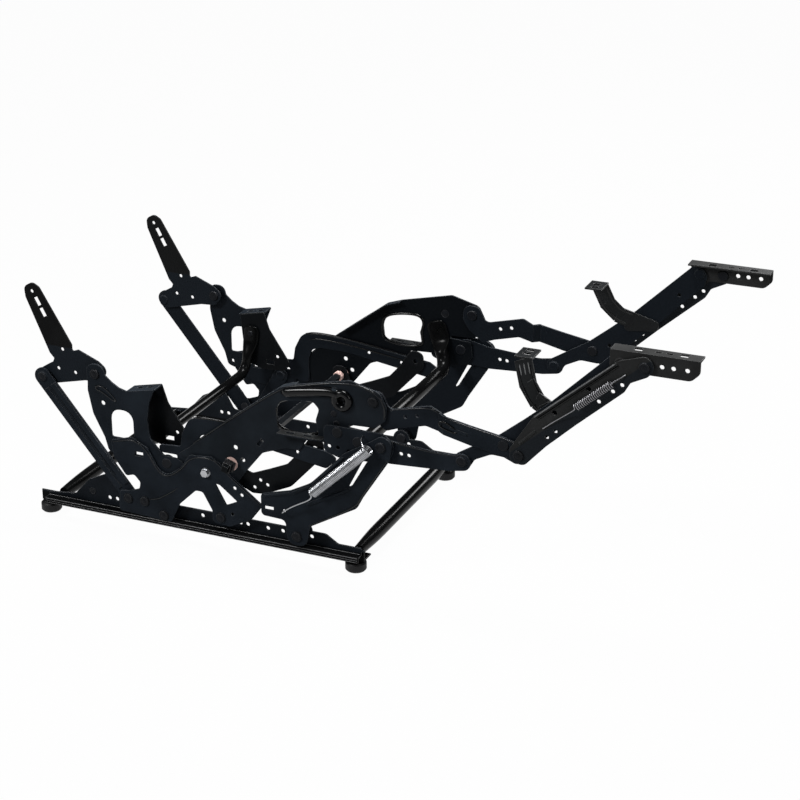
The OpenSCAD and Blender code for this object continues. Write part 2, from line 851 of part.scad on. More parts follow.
module footrest_bracket(side) {
    color([0.07, 0.07, 0.08])
        on_side(side)
            difference() {
                union() {
                    plate([[bracket_back, 448, 5], [1060, 442, 10], [1174, 442, 14],
                           [bracket_front, 456, 10], [bracket_front, bracket_top, 1],
                           [bracket_back, bracket_top, 1]], y_mid);
                    translate([bracket_back, y_mid - 24, bracket_top - plate_t])
                        cube([bracket_front - bracket_back, 24, plate_t]);
                    head_out(link3_end, y_mid + plate_t, low_h);
                }
                for (x = [1125, 1144, 1167]) hole([x, 459], y_mid, 4);
                for (x = [1074, 1150])
                    translate([x, y_mid - 18, bracket_top - plate_t - 1])
                        cube([14, 11, plate_t + 2]);
                for (x = [1110, 1128])
                    translate([x, y_mid - 14, bracket_top - plate_t - 1])
                        cube([10, 5, plate_t + 2]);
                pin_hole(link4_end, y_mid);
            }
}

module ottoman_pivots() {
    color([0.12, 0.12, 0.13])
        both_sides() {
            round_y(link13, y_seat - run_gap, y_mid + plate_t, pin_r);
            head_in(link13, y_seat - run_gap);
            head_out(link13, y_mid + plate_t, low_h);
            round_y(link14, y_mid, y_outer + plate_t + run_gap, pin_r);
            head_in(link14, y_mid, low_h);
            head_out(link14, y_outer + plate_t + run_gap);
        }
}

module footrest_pivots() {
    color([0.12, 0.12, 0.13])
        both_sides() {
            round_y(link4_end, y_mid - run_gap, y_outer + plate_t, pin_r);
            head_in(link4_end, y_mid - run_gap);
            head_out(link4_end, y_outer + plate_t);
        }
}

// springs: one tube along a path of points
curl_rings = 8;
tube_sides = 6;
function cross_unit(a, b) = unit(cross(a, b));
// path of a coil from a to b about the line between them, with straight ends
function coil_path(a, b, r, turns) =
    let(way = unit(b - a), u = [0, 1, 0], v = cross(way, u), n = turns * curl_rings)
    [for (i = [0:n])
        let(t = 360 * i / curl_rings)
        a + (b - a) * i / n + r * (cos(t) * u + sin(t) * v)];
function directions(path) =
    let(n = len(path))
    [for (i = [0:n - 1]) unit(path[min(i + 1, n - 1)] - path[max(i - 1, 0)])];
// a side vector carried along the path without twist
function carried(dirs) =
    [for (i = 0, s = cross_unit(dirs[0], [0.3, 0.2, 0.9]); i < len(dirs);
          i = i + 1, s = i < len(dirs) ? unit(s - (s * dirs[i]) * dirs[i]) : s) s];
// least air between neighbouring curls of a path
function least_air(path, wire) =
    min([for (i = [0:len(path) - 1], j = [i + curl_rings - 3:i + curl_rings + 3])
        if (j < len(path)) norm(path[i] - path[j])]) - wire;

module wire_tube(path, wire) {
    dirs = directions(path);
    sides = carried(dirs);
    n = len(path);
    points = [for (i = [0:n - 1], k = [0:tube_sides - 1])
        let(t = 360 * k / tube_sides)
        path[i] + wire / 2 * (cos(t) * sides[i] + sin(t) * cross(dirs[i], sides[i]))];
    walls = [for (i = [0:n - 2], k = [0:tube_sides - 1])
        let(a = i * tube_sides + k, b = i * tube_sides + (k + 1) % tube_sides)
        each [[a, b, b + tube_sides], [a, b + tube_sides, a + tube_sides]]];
    low_cap = [for (k = [tube_sides - 1:-1:0]) k];
    high_cap = [for (k = [0:tube_sides - 1]) (n - 1) * tube_sides + k];
    polyhedron(points, concat([low_cap], walls, [high_cap]));
}

// points of a smooth bend from p to s that leaves towards q and arrives from r
function smooth(p, q, r, s, n) =
    [for (i = [1:n])
        let(t = i / n, w = 1 - t)
        w * w * w * p + 3 * w * w * t * q + 3 * w * t * t * r + t * t * t * s];

spring_y = y_swing + plate_t + 3 + assist_d / 2;
assist_low = [514, spring_y, 135];
assist_high = [622, spring_y, 237];
assist_turns = 25;
rest_y = y_outer + plate_t + 0.5 + rest_d / 2;
rest_low = [990, rest_y, 373.5];
rest_high = [1046, rest_y, 422];
rest_turns = 16;

assist_coil = coil_path(assist_low, assist_high, (assist_d - assist_wire) / 2, assist_turns);
rest_coil = coil_path(rest_low, rest_high, (rest_d - rest_wire) / 2, rest_turns);
echo(assist_air = least_air(assist_coil, assist_wire));
echo(rest_air = least_air(rest_coil, rest_wire));

module assist_spring(side) {
    way = unit(assist_high - assist_low);
    n = len(assist_coil);
    first = assist_coil[0];
    last = assist_coil[n - 1];
    back = unit(first - assist_coil[1]);
    ahead = unit(last - assist_coil[n - 2]);
    knee = [455, spring_y, 87];
    hook = [450, y_swing + plate_t + run_gap, 82];
    ring = [603, y_outer + plate_t + run_gap, 252];
    low_leg = concat(smooth(first, first + 14 * back, knee + 34 * way, knee, 8),
                     smooth(knee, knee - 6 * way, hook + [0, 6, 0], hook, 4));
    high_leg = smooth(last, last + 14 * ahead, ring + [0, 14, 0], ring, 6);
    color([0.7, 0.7, 0.72])
        on_side(side)
            wire_tube(concat(reversed(low_leg), assist_coil, high_leg), assist_wire);
}

module footrest_spring(side) {
    way = unit(rest_high - rest_low);
    n = len(rest_coil);
    first = rest_coil[0];
    last = rest_coil[n - 1];
    back = unit(first - rest_coil[1]);
    ahead = unit(last - rest_coil[n - 2]);
    face = y_outer + plate_t + run_gap + rest_wire / 2;
    low_end = [930, face, 322];
    high_end = [1068, face, 440];
    low_leg = smooth(first, first + 9 * back, low_end + 26 * way, low_end, 8);
    high_leg = smooth(last, last + 9 * ahead, high_end - 12 * way, high_end, 6);
    color([0.7, 0.7, 0.72])
        on_side(side)
            wire_tube(concat(reversed(low_leg), rest_coil, high_leg), rest_wire);
}

rail(left);  // rail_left
rail(right);  // rail_right
base_upright(left);  // base_upright_left
base_upright(right);  // base_upright_right
upright_sleeves();
front_base_tube();
rear_base_tube();
foot_brackets();
floor_feet();
base_pivots();
upright_bolts();
seat_plate(left);  // seat_plate_left
seat_plate(right);  // seat_plate_right
rear_plate(left);  // rear_plate_left
rear_plate(right);  // rear_plate_right
rear_saddle(left);  // rear_saddle_left
rear_saddle(right);  // rear_saddle_right
side_beam(left);  // side_beam_left
side_beam(right);  // side_beam_right
front_cheek(left);  // front_cheek_left
front_cheek(right);  // front_cheek_right
rear_cross_tube();
front_cross_tube();
carriage_rivets();
drive_shaft();
shaft_bushings();
drive_crank(left);  // drive_crank_left
drive_crank(right);  // drive_crank_right
front_swing_link(left);  // front_swing_link_left
front_swing_link(right);  // front_swing_link_right
rear_swing_link(left);  // rear_swing_link_left
rear_swing_link(right);  // rear_swing_link_right
back_bracket(left);  // back_bracket_left
back_bracket(right);  // back_bracket_right
back_control_link(left);  // back_control_link_left
back_control_link(right);  // back_control_link_right
front_ottoman_link(left);  // front_ottoman_link_left
front_ottoman_link(right);  // front_ottoman_link_right
rear_ottoman_link(left);  // rear_ottoman_link_left
rear_ottoman_link(right);  // rear_ottoman_link_right
upper_ottoman_link(left);  // upper_ottoman_link_left
upper_ottoman_link(right);  // upper_ottoman_link_right
lower_ottoman_link(left);  // lower_ottoman_link_left
lower_ottoman_link(right);  // lower_ottoman_link_right
mid_ottoman_arm(left);  // mid_ottoman_arm_left
mid_ottoman_arm(right);  // mid_ottoman_arm_right
footrest_bracket(left);  // footrest_bracket_left
footrest_bracket(right);  // footrest_bracket_right
ottoman_pivots();
footrest_pivots();
assist_spring(left);  // assist_spring_left
assist_spring(right);  // assist_spring_right
footrest_spring(left);  // footrest_spring_left
footrest_spring(right);  // footrest_spring_right
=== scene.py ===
"""Looks of the recliner mechanism: coatings, springs, tubes, pressed detail and a plain studio."""

import logging
import math
from dataclasses import dataclass, field
from enum import Enum
from functools import cache
from typing import Any, Callable, Sequence

import bpy
from bpy.types import Material, NodeSocket, Object
from mathutils import Matrix, Vector


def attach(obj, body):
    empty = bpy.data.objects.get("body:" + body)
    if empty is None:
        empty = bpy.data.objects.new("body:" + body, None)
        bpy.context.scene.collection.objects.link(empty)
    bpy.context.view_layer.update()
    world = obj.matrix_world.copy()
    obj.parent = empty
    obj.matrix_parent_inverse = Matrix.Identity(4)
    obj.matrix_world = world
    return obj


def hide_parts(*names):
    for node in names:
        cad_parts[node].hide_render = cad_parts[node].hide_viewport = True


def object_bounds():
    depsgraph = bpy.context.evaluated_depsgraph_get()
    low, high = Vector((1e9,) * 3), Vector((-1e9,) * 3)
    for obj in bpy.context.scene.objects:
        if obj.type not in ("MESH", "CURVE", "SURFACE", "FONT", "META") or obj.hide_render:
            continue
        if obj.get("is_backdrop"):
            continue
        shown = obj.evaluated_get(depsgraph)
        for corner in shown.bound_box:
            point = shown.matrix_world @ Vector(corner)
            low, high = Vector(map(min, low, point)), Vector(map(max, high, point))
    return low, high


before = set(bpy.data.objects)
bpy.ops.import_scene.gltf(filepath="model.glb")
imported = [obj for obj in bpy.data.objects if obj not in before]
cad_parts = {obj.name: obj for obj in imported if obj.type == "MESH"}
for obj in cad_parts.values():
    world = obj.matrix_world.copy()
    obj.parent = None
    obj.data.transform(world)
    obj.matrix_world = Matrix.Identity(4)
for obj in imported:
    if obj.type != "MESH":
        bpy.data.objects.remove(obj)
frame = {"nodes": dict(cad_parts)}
CAD_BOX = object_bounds()
LOG = logging.getLogger("recliner_mechanism")

# A millimetre in metres; the side view's middle and floor in millimetres.
MM = 0.001
MID_X = 551.25
FLOOR_Z = -28.0

# Layers of plates: distance of their inner faces from the middle plane, in millimetres.
PLATE = 3.0
PITCH = 5.0
Y_BACK = 222.5
Y_SEAT = 235.5
Y_INNER = Y_SEAT - PITCH
Y_MID = Y_SEAT + PITCH
Y_OUTER = Y_MID + PITCH
Y_SWING = Y_OUTER + PITCH

# Rivet heads: running gap, height and radius in millimetres. Shaft: its place in the side view.
GAP = 0.3
HEAD = 2.5
HEAD_RADIUS = 8.4
SHAFT_AT = (338.5, 148.5)

# Mesh work: lengths in metres, smoothing angles in degrees, and how squarely a picked face looks.
UNIT_RADIUS = 0.5 * MM
WELD = 0.00001
MIRROR_MERGE = 0.00005
SMOOTH_PLATE = 35.0
SMOOTH_TUBE = 50.0
SMOOTH_WIRE = 60.0
FACING = 0.9

# A noise is its scale per metre, detail and roughness. A ring is its centre and its size.
Colour = tuple[float, float, float]
Noise = tuple[float, ...]
Point = tuple[float, float, float]
Ring = tuple[Point, Point]
Knee = tuple[Vector, ...]


class Side(Enum):
    """The sitter's left and right side, with the sign of y."""

    LEFT = 1
    RIGHT = -1

    @property
    def word(self) -> str:
        """The word that ends the names of this side's pieces."""
        return self.name.lower()


def place(x: float, y: float, z: float, side: Side = Side.LEFT) -> Vector:
    """The point in the frame of the part, in metres, of a place in side view millimetres."""
    return Vector(((x - MID_X) * MM, y * MM * side.value, (z - FLOOR_Z) * MM))


def rgba(colour: Colour, level: float = 1.0) -> tuple[float, ...]:
    """A colour at a level of brightness, with full alpha."""
    return tuple(min(1.0, channel * level) for channel in colour) + (1.0,)


class Signal:
    """A shader socket that takes part in Python expressions."""

    def __init__(self, graph: "Graph", socket: NodeSocket | None) -> None:
        """Keeps the graph and the output socket."""
        self.graph = graph
        self.socket = socket

    def _math(self, operation: str, first: Any, second: Any) -> "Signal":
        """Adds a Math node for one operation."""
        return self.graph.add("ShaderNodeMath", {"operation": operation}, {0: first, 1: second})

    def __add__(self, other: Any) -> "Signal":
        """Sum."""
        return self._math("ADD", self, other)

    def __radd__(self, other: Any) -> "Signal":
        """Sum with a number first."""
        return self._math("ADD", other, self)

    def __sub__(self, other: Any) -> "Signal":
        """Difference."""
        return self._math("SUBTRACT", self, other)

    def __rsub__(self, other: Any) -> "Signal":
        """Difference with a number first."""
        return self._math("SUBTRACT", other, self)

    def __mul__(self, other: Any) -> "Signal":
        """Product."""
        return self._math("MULTIPLY", self, other)

    def __rmul__(self, other: Any) -> "Signal":
        """Product with a number first."""
        return self._math("MULTIPLY", other, self)

    def clamped(self) -> "Signal":
        """The value held between 0 and 1."""
        return self.graph.add("ShaderNodeClamp", {}, {"Value": self})


class Graph:
    """The node tree of one material."""

    EDGE_SAMPLES = 6
    EDGE_GAIN = 7.0
    # Edge mask levels: rubbed paint on all sharp edges, plus a painted highlight on edges that
    # face up, as if lit from above.
    EDGE_LEVEL, EDGE_UPWARD = 0.35, 0.65
    # Faces that look towards the middle plane: painted shade on most paints, painted light on the
    # blade.
    INNER_GAIN, INNER_START = -6.0, 0.2

    def __init__(self, name: str) -> None:
        """Makes an empty material.

        Args:
            name: Name of the material.
        """
        self.material = bpy.data.materials.new(name)
        self.material.use_nodes = True
        self.tree = self.material.node_tree
        self.tree.nodes.clear()

    def add(
        self, kind: str, settings: dict[str, Any], inputs: dict[Any, Any], output: Any = 0
    ) -> Signal:
        """Adds a node, sets it, and feeds its sockets.

        Args:
            kind: The node's type.
            settings: Properties of the node, set first.
            inputs: Values or signals by socket name or number.
            output: The output socket to return.

        Returns:
            The chosen output as a signal, empty for a node without outputs.
        """
        node = self.tree.nodes.new(kind)
        for key, value in settings.items():
            setattr(node, key, value)
        for key, value in inputs.items():
            if isinstance(value, Signal):
                self.tree.links.new(value.socket, node.inputs[key])
            else:
                node.inputs[key].default_value = value
        return Signal(self, node.outputs[output] if len(node.outputs) else None)

    def coordinates(self) -> Signal:
        """Object coordinates in metres."""
        return self.add("ShaderNodeTexCoord", {}, {}, "Object")

    def noise(self, scale: float, detail: float, rough: float = 0.5) -> Signal:
        """Noise of a given scale, per metre, as a value about 0.5."""
        inputs = {"Scale": scale, "Detail": detail, "Roughness": rough}
        return self.add("ShaderNodeTexNoise", {}, {"Vector": self.coordinates(), **inputs}, "Fac")

    def mixed(self, share: Signal, first: Any, second: Any) -> Signal:
        """Mixes two colours by a share."""
        sockets = {0: share, 6: first, 7: second}
        return self.add("ShaderNodeMix", {"data_type": "RGBA"}, sockets, 2)

    def dot(self, first: Signal, second: Any) -> Signal:
        """Dot product of two vectors."""
        setting = {"operation": "DOT_PRODUCT"}
        return self.add("ShaderNodeVectorMath", setting, {0: first, 1: second}, "Value")

    def part_of(self, vector: Signal, axis: str) -> Signal:
        """One component of a vector."""
        return self.add("ShaderNodeSeparateXYZ", {}, {"Vector": vector}, axis)

    def true_normal(self) -> Signal:
        """The normal of the face."""
        return self.add("ShaderNodeNewGeometry", {}, {}, "Normal")

    def edge_wear_and_highlight_mask(self, radius: float) -> tuple[Signal, Signal]:
        """Finds sharp edges.

        Args:
            radius: Width of the rounding in metres.

        Returns:
            The rounded normal, and a mask of rubbed paint and painted highlight on edges,
            strongest where they face up.
        """
        samples = {"samples": self.EDGE_SAMPLES}
        soft = self.add("ShaderNodeBevel", samples, {"Radius": radius}, "Normal")
        sharp = ((1 - self.dot(soft, self.true_normal())) * self.EDGE_GAIN).clamped()
        # Edges that face up get more of the mask: a painted highlight, as if lit from above.
        top_highlight = (self.EDGE_LEVEL + self.EDGE_UPWARD * self.part_of(soft, "Z")).clamped()
        return soft, sharp * top_highlight

    def inner_light_mask(self) -> Signal:
        """Finds the faces that look towards the middle plane of the mechanism, for painted shade
        or painted light on them.

        Returns:
            A mask that is 1 on them.
        """
        across = self.part_of(self.coordinates(), "Y")
        facing = self.part_of(self.true_normal(), "Y")
        return (across * facing * self.INNER_GAIN - self.INNER_START).clamped()

    def bump(self, height: Signal, distance: float, strength: float, **normal: Signal) -> Signal:
        """A bump normal from a height signal, on top of a normal where one is given."""
        inputs = {"Height": height, "Distance": distance, "Strength": strength, **normal}
        return self.add("ShaderNodeBump", {}, inputs, "Normal")

    def surface(self, inputs: dict[str, Any]) -> Material:
        """Closes the graph with a Principled surface.

        Args:
            inputs: Values or signals of the shader's sockets.

        Returns:
            The finished material.
        """
        shader = self.add("ShaderNodeBsdfPrincipled", {}, inputs, "BSDF")
        self.add("ShaderNodeOutputMaterial", {}, {"Surface": shader})
        return self.material


@dataclass(frozen=True)
class PaintFinish:
    """Dark coating on steel with uneven gloss; with an edge colour also fine peel, and edges made
    lighter partly as rubbed paint and partly as a painted highlight.

    The coating may take another colour below a height along an axis, and take painted shade or
    painted light on faces that look towards the middle plane.
    """

    name: str
    colour: Colour
    roughness: float
    specular: float
    edge_wear_and_highlight_colour: Colour | None = None
    gloss_spread: float = 1.0
    inner_light_level: float = 1.0
    low_colour: Colour | None = None
    low_below: float = 0.0
    low_axis: Point = (0.0, 0.0, 1.0)
    low_sharpness: float = 500.0
    cloud: Noise = (16.0, 4.0)
    cloud_gain: float = 2.4
    cloud_drop: float = 0.7
    cloud_levels: tuple[float, float] = (0.66, 1.34)
    grain: Noise = (1500.0, 3.0)
    gloss_swing: float = 0.10
    edge_radius: float = 1.3 * MM
    scuff: Noise = (120.0, 6.0, 0.7)
    wear_and_highlight_levels: tuple[float, float] = (0.60, 0.55)
    peel_depth: float = 0.06 * MM
    peel: float = 0.12

    def material(self) -> Material:
        """Builds the node material of this coating.

        Returns:
            The material.
        """
        graph = Graph(self.name)
        cloud = (graph.noise(*self.cloud) * self.cloud_gain - self.cloud_drop).clamped()
        grain = graph.noise(*self.grain)
        dark, light = (rgba(self.colour, level) for level in self.cloud_levels)
        colour = graph.mixed(cloud, dark, light)
        # Painted shade or light: faces towards the middle plane take a darker or lighter copy of
        # the colour.
        if self.inner_light_level != 1:
            inner = rgba(self.colour, self.inner_light_level)
            colour = graph.mixed(graph.inner_light_mask(), colour, inner)
        if self.low_colour is not None:
            height = graph.dot(graph.coordinates(), self.low_axis)
            low = ((self.low_below - height) * self.low_sharpness + 0.5).clamped()
            colour = graph.mixed(low, colour, rgba(self.low_colour))
        sockets: dict[str, Any] = {
            "Roughness": self.roughness, "Specular IOR Level": self.specular}
        if self.gloss_spread > 0:
            uneven = (cloud + grain - 1.0) * (self.gloss_swing * self.gloss_spread)
            sockets["Roughness"] = (self.roughness + uneven).clamped()
        # Lighter edges: partly rubbed paint broken up by scuffs, partly a painted highlight that
        # is strongest on edges facing up.
        if self.edge_wear_and_highlight_colour is not None:
            soft, edges = graph.edge_wear_and_highlight_mask(self.edge_radius)
            scuff = graph.noise(*self.scuff)
            worn_and_lit = (edges * (self.wear_and_highlight_levels[0] + self.wear_and_highlight_levels[1] * scuff)).clamped()
            colour = graph.mixed(worn_and_lit, colour, rgba(self.edge_wear_and_highlight_colour))
            sockets["Normal"] = graph.bump(grain, self.peel_depth, self.peel, Normal=soft)
        return graph.surface({"Base Color": colour, **sockets})


@dataclass(frozen=True)
class PlatedFinish:
    """Plated steel with dull patches and a fine grain."""

    name: str
    colour: Colour
    roughness: float
    patch: Noise = (60.0, 5.0, 0.6)
    patch_gain: float = 1.6
    patch_drop: float = 0.3
    patch_swing: float = 0.22
    dull_level: float = 0.62
    fine: Noise = (2400.0, 2.0)
    fine_swing: float = 0.12
    fine_depth: float = 0.03 * MM
    fine_strength: float = 0.2

    def material(self) -> Material:
        """Builds the node material of this plating.

        Returns:
            The material.
        """
        graph = Graph(self.name)
        patch, fine = graph.noise(*self.patch), graph.noise(*self.fine)
        bright = (patch * self.patch_gain - self.patch_drop).clamped()
        uneven = self.patch_swing * (patch - 0.5) + self.fine_swing * (fine - 0.5)
        dull = rgba(self.colour, self.dull_level)
        return graph.surface({
            "Base Color": graph.mixed(bright, dull, rgba(self.colour)),
            "Roughness": (self.roughness + uneven).clamped(),
            "Normal": graph.bump(fine, self.fine_depth, self.fine_strength),
            "Metallic": 1.0,
        })


@dataclass(frozen=True)
class PlasticFinish:
    """Moulded plastic with a faint moulding grain."""

    name: str
    colour: Colour
    roughness: float
    specular: float
    edge_radius: float = 0.5 * MM
    cloud: Noise = (45.0, 3.0)
    cloud_levels: tuple[float, float] = (0.82, 1.12)
    grain: Noise = (1800.0, 2.0)
    grain_swing: float = 0.2
    grain_depth: float = 0.05 * MM
    grain_strength: float = 0.25

    def material(self) -> Material:
        """Builds the node material of this plastic.

        Returns:
            The material.
        """
        graph = Graph(self.name)
        soft, _ = graph.edge_wear_and_highlight_mask(self.edge_radius)
        dark, light = (rgba(self.colour, level) for level in self.cloud_levels)
        grain = graph.noise(*self.grain)
        return graph.surface({
            "Base Color": graph.mixed(graph.noise(*self.cloud), dark, light),
            "Roughness": (self.roughness + self.grain_swing * (grain - 0.5)).clamped(),
            "Normal": graph.bump(grain, self.grain_depth, self.grain_strength, Normal=soft),
            "Specular IOR Level": self.specular,
        })


class Finish(Enum):
    """The finishes of the mechanism."""

    # Link and seat paint take painted shade on faces towards the middle plane; blade paint takes
    # painted light there.
    LINK_PAINT = PaintFinish(
        "link_paint", (0.0100, 0.0130, 0.0172), 0.46, 0.025, (0.120, 0.126, 0.136),
        inner_light_level=0.78)
    SEAT_PAINT = PaintFinish(
        "seat_paint", (0.0106, 0.0136, 0.0174), 0.42, 0.03, (0.120, 0.126, 0.136),
        inner_light_level=0.36)
    BEAM_PAINT = PaintFinish(
        "beam_paint", (0.0042, 0.0050, 0.0060), 0.34, 0.04, (0.100, 0.102, 0.106))
    # A lighter copy of the plate paint for the window sills: painted light, as on a face lit from
    # above.
    TOP_LIT_FLANGE_PAINT = PaintFinish(
        "top_lit_flange_paint", (0.0270, 0.0280, 0.0285), 0.42, 0.05, (0.130, 0.132, 0.136))
    BLADE_PAINT = PaintFinish(
        "blade_paint", (0.0056, 0.0057, 0.0059), 0.46, 0.025, (0.090, 0.092, 0.094),
        inner_light_level=1.5, low_colour=(0.0094, 0.0120, 0.0156), low_below=0.344)
    ARM_PAINT = PaintFinish(
        "arm_paint", (0.0098, 0.0106, 0.0112), 0.36, 0.06, (0.130, 0.130, 0.132))
    BRACKET_PAINT = PaintFinish(
        "bracket_paint", (0.0200, 0.0205, 0.0206), 0.40, 0.05, (0.130, 0.130, 0.132))
    LOWER_PAINT = PaintFinish(
        "lower_link_paint", (0.0200, 0.0206, 0.0208), 0.40, 0.05, (0.130, 0.130, 0.132),
        low_colour=(0.0094, 0.0118, 0.0148), low_below=0.0165, low_axis=(-0.650, 0.0, 0.760))
    RAIL_PAINT = PaintFinish(
        "rail_paint", (0.0070, 0.0090, 0.0118), 0.40, 0.03, (0.150, 0.152, 0.156),
        low_colour=(0.0018, 0.0019, 0.0021), low_below=0.0395)
    RIVET_BLACK = PaintFinish(
        "rivet_black", (0.0060, 0.0070, 0.0090), 0.34, 0.08, (0.090, 0.092, 0.098))
    TUBE_ENAMEL = PaintFinish(
        "tube_enamel", (0.0024, 0.0025, 0.0026), 0.22, 0.07, gloss_spread=0.0)
    ROLL_ENAMEL = PaintFinish(
        "roll_enamel", (0.0050, 0.0062, 0.0082), 0.24, 0.24, gloss_spread=0.4)
    # Glossy black enamel for beads and rolls; on the groove and under-lip rolls it is painted
    # shade.
    DARK_ENAMEL_AND_SHADE = PaintFinish(
        "dark_enamel_and_shade", (0.0016, 0.0018, 0.0022), 0.20, 0.20, gloss_spread=0.3)
    # Pale grey for thin rolls that stand in for highlights on folds, lips and pressed lines:
    # painted highlight.
    PAINTED_HIGHLIGHT_STEEL = PaintFinish("painted_highlight_steel", (0.100, 0.102, 0.105), 0.26, 0.30, gloss_spread=0.5)
    ZINC = PlatedFinish("zinc_plate", (0.52, 0.53, 0.55), 0.30)
    DULL_ZINC = PlatedFinish("dull_zinc_plate", (0.30, 0.30, 0.315), 0.40)
    NYLON = PlasticFinish("bushing_nylon", (0.72, 0.50, 0.45), 0.5, 0.4)
    FOOT = PlasticFinish("foot_plastic", (0.006, 0.006, 0.0065), 0.55, 0.25)
    SOCKET = PlasticFinish("socket_plastic", (0.005, 0.005, 0.006), 0.38, 0.3)

    @cache
    def material(self) -> Material:
        """The material of this finish, made once."""
        return self.value.material()

    def dress(self, obj: Object) -> None:
        """Gives an object this finish.

        Args:
            obj: The mesh object.
        """
        obj.data.materials.clear()
        obj.data.materials.append(self.material())
        for polygon in obj.data.polygons:
            polygon.material_index = 0


class Bench:
    """Blender operators as used by hand at the bench."""

    @staticmethod
    def clear() -> None:
        """Leaves edit mode and deselects everything."""
        if bpy.context.mode != "OBJECT":
            bpy.ops.object.mode_set(mode="OBJECT")
        bpy.ops.object.select_all(action="DESELECT")

    @staticmethod
    def take(obj: Object) -> None:
        """Makes one object the selected and active one.

        Args:
            obj: The object.
        """
        Bench.clear()
        obj.select_set(True)
        bpy.context.view_layer.objects.active = obj

    @staticmethod
    def active() -> Object:
        """The active object."""
        return bpy.context.view_layer.objects.active

    @staticmethod
    def apply() -> None:
        """Puts the selected object's place, turn and size into its mesh."""
        bpy.ops.object.transform_apply(location=True, rotation=True, scale=True)

    @staticmethod
    def pick_faces(obj: Object, wanted: Callable[[Vector, Vector], bool]) -> None:
        """Selects faces by centre and normal, and enters edit mode.

        Args:
            obj: The mesh object.
            wanted: Says of a face's centre and normal whether it is selected.
        """
        Bench.take(obj)
        bpy.ops.object.mode_set(mode="EDIT")
        bpy.ops.mesh.select_mode(type="FACE")
        bpy.ops.mesh.select_all(action="DESELECT")
        bpy.ops.object.mode_set(mode="OBJECT")
        for polygon in obj.data.polygons:
            polygon.select = wanted(polygon.center, polygon.normal)
        bpy.ops.object.mode_set(mode="EDIT")

    @staticmethod
    def inset(amount: float, depth: float = 0.0) -> None:
        """Insets the selected faces and moves them along their normal, in millimetres."""
        bpy.ops.mesh.inset(thickness=amount * MM, depth=depth * MM)

    @staticmethod
    def bevel(obj: Object, width: float, segments: int = 2, angle: float = 40.0) -> None:
        """Rounds the sharp edges of an object with an applied modifier.

        Args:
            obj: The mesh object.
            width: Width of the rounding in millimetres.
            segments: Number of faces across it.
            angle: Angle in degrees above which an edge is sharp.
        """
        Bench.take(obj)
        modifier = obj.modifiers.new("round_over", "BEVEL")
        modifier.width = width * MM
        modifier.segments = segments
        modifier.limit_method = "ANGLE"
        modifier.angle_limit = math.radians(angle)
        bpy.ops.object.modifier_apply(modifier=modifier.name)

    @staticmethod
    def mirror_half(obj: Object) -> None:
        """Adds the half across the middle plane with an applied modifier.

        Args:
            obj: The mesh object.
        """
        Bench.take(obj)
        modifier = obj.modifiers.new("other_half", "MIRROR")
        modifier.use_axis = (False, True, False)
        modifier.use_clip = True
        modifier.merge_threshold = MIRROR_MERGE
        bpy.ops.object.modifier_apply(modifier=modifier.name)

    @staticmethod
    def loft(rings: Sequence[Ring], sides: int, turn: float = 0.0) -> Object:
        """Extrudes a round ring from centre to centre, with a size at each.

        Args:
            rings: Centres and sizes in millimetres; a size along the run is 1.
            sides: Number of corners.
            turn: Turn of the rings about the x axis in radians.

        Returns:
            The object, still in edit mode with its last ring selected.
        """
        Bench.clear()
        start, before = rings[0]
        middle = tuple(value * MM for value in start)
        bpy.ops.mesh.primitive_circle_add(
            vertices=sides, radius=UNIT_RADIUS, fill_type="NGON", location=middle,
            rotation=(turn, 0.0, 0.0))
        Bench.apply()
        bpy.ops.object.mode_set(mode="EDIT")
        bpy.ops.mesh.select_mode(type="EDGE")
        bpy.ops.mesh.select_all(action="SELECT")
        bpy.ops.transform.resize(value=before, center_override=middle)
        for centre, size in rings[1:]:
            move = tuple((new - old) * MM for new, old in zip(centre, start))
            middle = tuple(value * MM for value in centre)
            growth = tuple(new / old for new, old in zip(size, before))
            bpy.ops.mesh.extrude_edges_move(TRANSFORM_OT_translate={"value": move})
            bpy.ops.transform.resize(value=growth, center_override=middle)
            start, before = centre, size
        return Bench.active()

    @staticmethod
    def wire(
        points: Sequence[Vector], side: Side, radius: float, fineness: int,
        closed: bool = False, tip: float = 1.0,
    ) -> Object:
        """Draws a path as a curve with a round section and makes it a mesh.

        Args:
            points: The path in side view millimetres.
            side: The side of the mechanism.
            radius: Radius of the section in millimetres.
            fineness: The bevel resolution of the curve.
            closed: Whether the path runs back to its start.
            tip: Share of the radius at the two ends.

        Returns:
            The mesh object, selected and active.
        """
        curve = bpy.data.curves.new("wire", "CURVE")
        curve.dimensions = "3D"
        curve.bevel_depth = radius * MM
        curve.bevel_resolution = fineness
        curve.use_fill_caps = True
        spline = curve.splines.new("POLY")
        spline.points.add(len(points) - 1)
        spline.use_cyclic_u = closed
        for knot, point in zip(spline.points, points):
            knot.co = (*place(point.x, point.y, point.z, side), 1.0)
        spline.points[0].radius = spline.points[-1].radius = tip
        obj = bpy.data.objects.new("wire", curve)
        bpy.context.scene.collection.objects.link(obj)
        Bench.take(obj)
        bpy.ops.object.convert(target="MESH")
        return Bench.active()

    @staticmethod
    def join(parts: Sequence[Object]) -> Object:
        """Joins parts into one object.

        Args:
            parts: The parts.

        Returns:
            The first part, which now holds them all.
        """
        Bench.take(parts[0])
        for part in parts:
            part.select_set(True)
        bpy.ops.object.join()
        Bench.clear()
        return parts[0]

